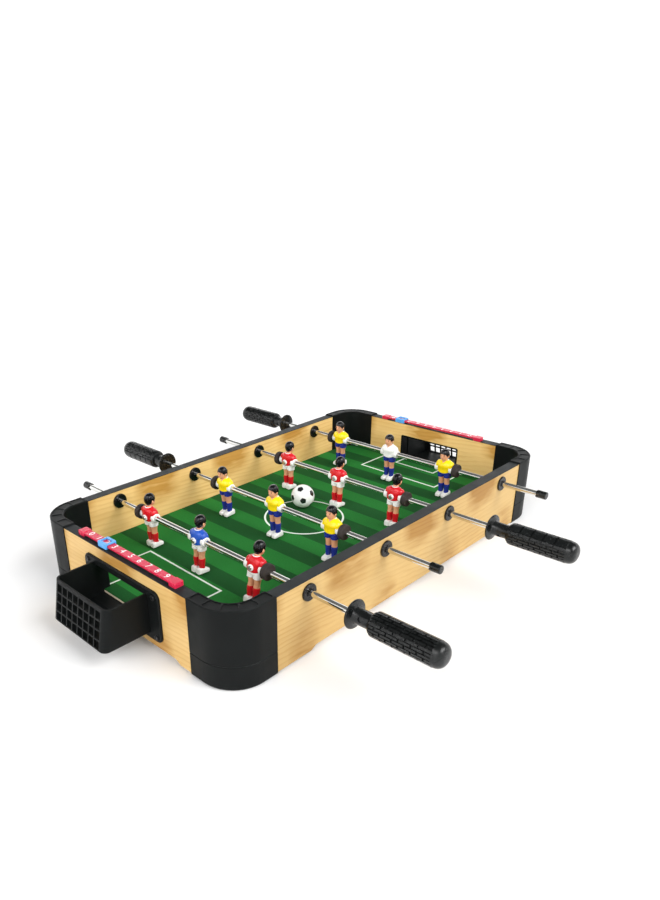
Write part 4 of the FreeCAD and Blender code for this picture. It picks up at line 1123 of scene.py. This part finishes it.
def make_handle(number):
    """Flange, neck, ribbed grip and domed end as one moulding, with the set screw's hole."""
    node = f"handle_{number}"
    low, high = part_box(node)
    side = -1 if high.y < 0 else 1
    start = min(abs(low.y), abs(high.y)) / MM
    rod_low, rod_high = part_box(f"rod_{number}")
    axis = (rod_low + rod_high) / 2
    angles = grip_angles()
    rings = []

    def ring_at(along, radius_of):
        ring = []
        for angle, kind, rib in angles:
            turn = math.radians(angle + PAD_TURNS[number])
            radius = radius_of(kind, rib)
            spot = (radius * math.cos(turn), side * (start + along), radius * math.sin(turn))
            ring.append(Vector(spot))
        rings.append(ring)

    for radius, along in NECK_PROFILE:
        ring_at(along, lambda kind, rib, r=radius: r)
    ring_at(PAD_FIRST - 0.5, lambda kind, rib: RIB_SHOULDERS[0] if kind == "rib" else GRIP_LOW)
    ring_at(PAD_FIRST + 0.3, lambda kind, rib: GRIP_LOW if kind == "low" else RIB_SHOULDERS[1])
    ring_at(PAD_FIRST + 1.6, lambda kind, rib: GRIP_LOW if kind == "low" else GRIP_HIGH)
    for along, cut in grip_stations():
        ring_at(along, lambda kind, rib, c=cut: cut_height(kind, rib, c))
    last = PAD_FIRST + PADS * PAD_PITCH - 1.2
    ring_at(last, lambda kind, rib: GRIP_LOW if kind == "low" else GRIP_HIGH)
    ring_at(last + 1.0, lambda kind, rib: GRIP_LOW + 0.1 if kind == "low" else GRIP_HIGH)
    ring_at(DOME_START - 0.3, lambda kind, rib: DOME_EDGE)
    for step in range(1, DOME_STEPS):
        share = step / DOME_STEPS * math.pi / 2
        radius = DOME_RADIUS * math.cos(share) ** DOME_FULLNESS
        ring_at(DOME_START + DOME_LENGTH * math.sin(share), lambda kind, rib, r=radius: r)
    shells = Shells()
    shells.loft(rings, GRIP)
    place = Matrix.Translation((axis.x, 0, axis.z))
    cutter = screw_cutter(place, side, start, SCREW_TURNS[number])
    body = f"rod_{number}_assembly"
    shells.piece(f"grip_{number}", place, body, "grip", node, sharp=30.0, cutter=cutter)


for number in RODS:
    make_handle(number)

# ---------------------------------------------------------------- ball


BALL_ROWS = 48
BALL_COLUMNS = 96


def make_ball():
    """The ball in place of its CAD node, with its spots in the paint."""
    low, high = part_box("ball")
    centre = (low + high) / 2
    radius = (high.x - low.x) / 2 / MM
    ball = Shells()
    rings = []
    for row in range(1, BALL_ROWS):
        polar = math.pi * row / BALL_ROWS
        ring = []
        for index in range(BALL_COLUMNS):
            turn = 2 * math.pi * index / BALL_COLUMNS
            across = radius * math.sin(polar)
            height = radius * math.cos(polar)
            ring.append(Vector((across * math.cos(turn), across * math.sin(turn), height)))
        rings.append(ring)
    ball.loft(rings, ball_paint("ball_paint", centre))
    ball.piece("play_ball", Matrix.Translation(centre), "ball", "ball_white", "ball", sharp=60.0)


make_ball()

# ---------------------------------------------------------------- score digits

DIGITS = 10
DIGIT_PITCH = 13.1 * MM
DIGIT_SIZE = 0.0092
# The middle of the row falls between 4 and 5
MIDDLE_DIGIT = 4.5
# Half a digit's thickness, as a share of its size
DIGIT_DEPTH = 0.0024
BAR_TOP = 0.0804
DIGIT_LIFT = 0.00003


def digit_mesh(text):
    """One printed digit as a thin flat mesh from Blender's own font, made at size 1 and scaled."""
    curve = bpy.data.curves.new("digit", "FONT")
    curve.body = text
    curve.size = 1.0
    curve.align_x = "CENTER"
    curve.align_y = "CENTER"
    curve.extrude = DIGIT_DEPTH
    holder = bpy.data.objects.new("digit", curve)
    bpy.context.scene.collection.objects.link(holder)
    bpy.context.view_layer.update()
    seen = holder.evaluated_get(bpy.context.evaluated_depsgraph_get())
    mesh = bpy.data.meshes.new_from_object(seen)
    bpy.data.objects.remove(holder)
    mesh.transform(Matrix.Scale(DIGIT_SIZE, 4))
    return mesh


def make_digits(end, side):
    """The row of digits on one score rail, read from outside the table."""
    low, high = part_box(f"score_rail_{end}")
    middle = (low + high) / 2
    joined = bmesh.new()
    for digit in range(DIGITS):
        y = middle.y + side * (digit - MIDDLE_DIGIT) * DIGIT_PITCH
        mesh = digit_mesh(str(digit))
        place = Matrix.Translation((middle.x, y, BAR_TOP + DIGIT_LIFT))
        mesh.transform(place @ Matrix.Rotation(side * math.pi / 2, 4, "Z"))
        joined.from_mesh(mesh)
        bpy.data.meshes.remove(mesh)
    mesh = bpy.data.meshes.new(f"digits_{end}")
    joined.to_mesh(mesh)
    joined.free()
    mesh.materials.append(DIGIT_WHITE)
    made = bpy.data.objects.new(f"digits_{end}", mesh)
    bpy.context.scene.collection.objects.link(made)
    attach(made, "table")


make_digits("left", -1)
make_digits("right", 1)

# ---------------------------------------------------------------- stage, lights and camera

FLAT_RADIUS = 3.0
CURVE_RADIUS = 2.0
CURVE_STEPS = 24
TURN_STEPS = 96
WALL_TOP = 3.1
FLOOR_GAP = 0.0002
PAPER = (0.92, 0.92, 0.92)
WORLD_STRENGTH = 0.18


def make_stage():
    """A round floor of pale paper that curves up all round. It casts no shadow."""
    mesh = bmesh.new()
    ground = CAD_BOX[0][2] - FLOOR_GAP
    spots = [(0.0, 0.0), (FLAT_RADIUS, 0.0)]
    for step in range(1, CURVE_STEPS + 1):
        turn = math.pi / 2 * step / CURVE_STEPS
        radius = FLAT_RADIUS + CURVE_RADIUS * math.sin(turn)
        spots.append((radius, CURVE_RADIUS * (1 - math.cos(turn))))
    spots.append((FLAT_RADIUS + CURVE_RADIUS, WALL_TOP))
    line = [mesh.verts.new((radius, 0, ground + height)) for radius, height in spots]
    edges = [mesh.edges.new(pair) for pair in zip(line[:-1], line[1:])]
    bmesh.ops.spin(
        mesh,
        geom=line + edges,
        axis=(0, 0, 1),
        cent=(0, 0, 0),
        steps=TURN_STEPS,
        angle=2 * math.pi,
    )
    bmesh.ops.remove_doubles(mesh, verts=mesh.verts, dist=0.0001)
    for face in mesh.faces:
        face.smooth = True
    bmesh.ops.recalc_face_normals(mesh, faces=mesh.faces)
    data = bpy.data.meshes.new("studio_floor")
    mesh.to_mesh(data)
    mesh.free()
    floor = bpy.data.objects.new("studio_floor", data)
    floor.visible_shadow = False
    bpy.context.scene.collection.objects.link(floor)
    shader = Shader("studio_paper", 0.9, Specular_IOR_Level=0.0)
    shader.colour(mottled(shader, PAPER, amount=0.01, scale=3.0))
    data.materials.append(shader.material)


def make_light(name, towards, strength, spread):
    """A broad distant light that comes from the given way."""
    lamp = bpy.data.lights.new(name, "SUN")
    lamp.energy = strength
    lamp.angle = spread
    holder = bpy.data.objects.new(name, lamp)
    holder.rotation_euler = Vector(towards).to_track_quat("Z", "Y").to_euler()
    bpy.context.scene.collection.objects.link(holder)


def make_world():
    """A dim white surround that fills the shadows."""
    world = bpy.data.worlds.new("studio")
    world.use_nodes = True
    background = world.node_tree.nodes["Background"]
    background.inputs["Color"].default_value = (1.0, 1.0, 1.0, 1.0)
    background.inputs["Strength"].default_value = WORLD_STRENGTH
    bpy.context.scene.world = world


# The photo's camera, as fitted to the photo
CAMERA_PLACE = (-0.54421, -0.49321, 0.37744)
CAMERA_RIGHT = (0.71798, -0.69552, -0.02751)
CAMERA_FORWARD = (0.62066, 0.65747, -0.42721)
CAMERA_LENS = 28.138
CAMERA_SENSOR = 36.0
CAMERA_SHIFT = (0.0796, 0.0760)


def make_camera():
    data = bpy.data.cameras.new("camera")
    data.lens = CAMERA_LENS
    data.sensor_width = CAMERA_SENSOR
    data.shift_x, data.shift_y = CAMERA_SHIFT
    data.clip_start = 0.01
    camera = bpy.data.objects.new("camera", data)
    right = Vector(CAMERA_RIGHT).normalized()
    forward = Vector(CAMERA_FORWARD).normalized()
    up = right.cross(forward).normalized()
    turn = Matrix((right, up, -forward)).transposed().to_4x4()
    camera.matrix_world = Matrix.Translation(CAMERA_PLACE) @ turn
    bpy.context.scene.collection.objects.link(camera)
    bpy.context.scene.camera = camera


make_stage()
make_light("key", towards=(0.18, -0.77, 0.62), strength=2.8, spread=0.7)
make_light("fill", towards=(-0.85, -0.15, 0.50), strength=2.3, spread=0.9)
make_world()
make_camera()
bpy.context.scene.view_settings.view_transform = "Standard"
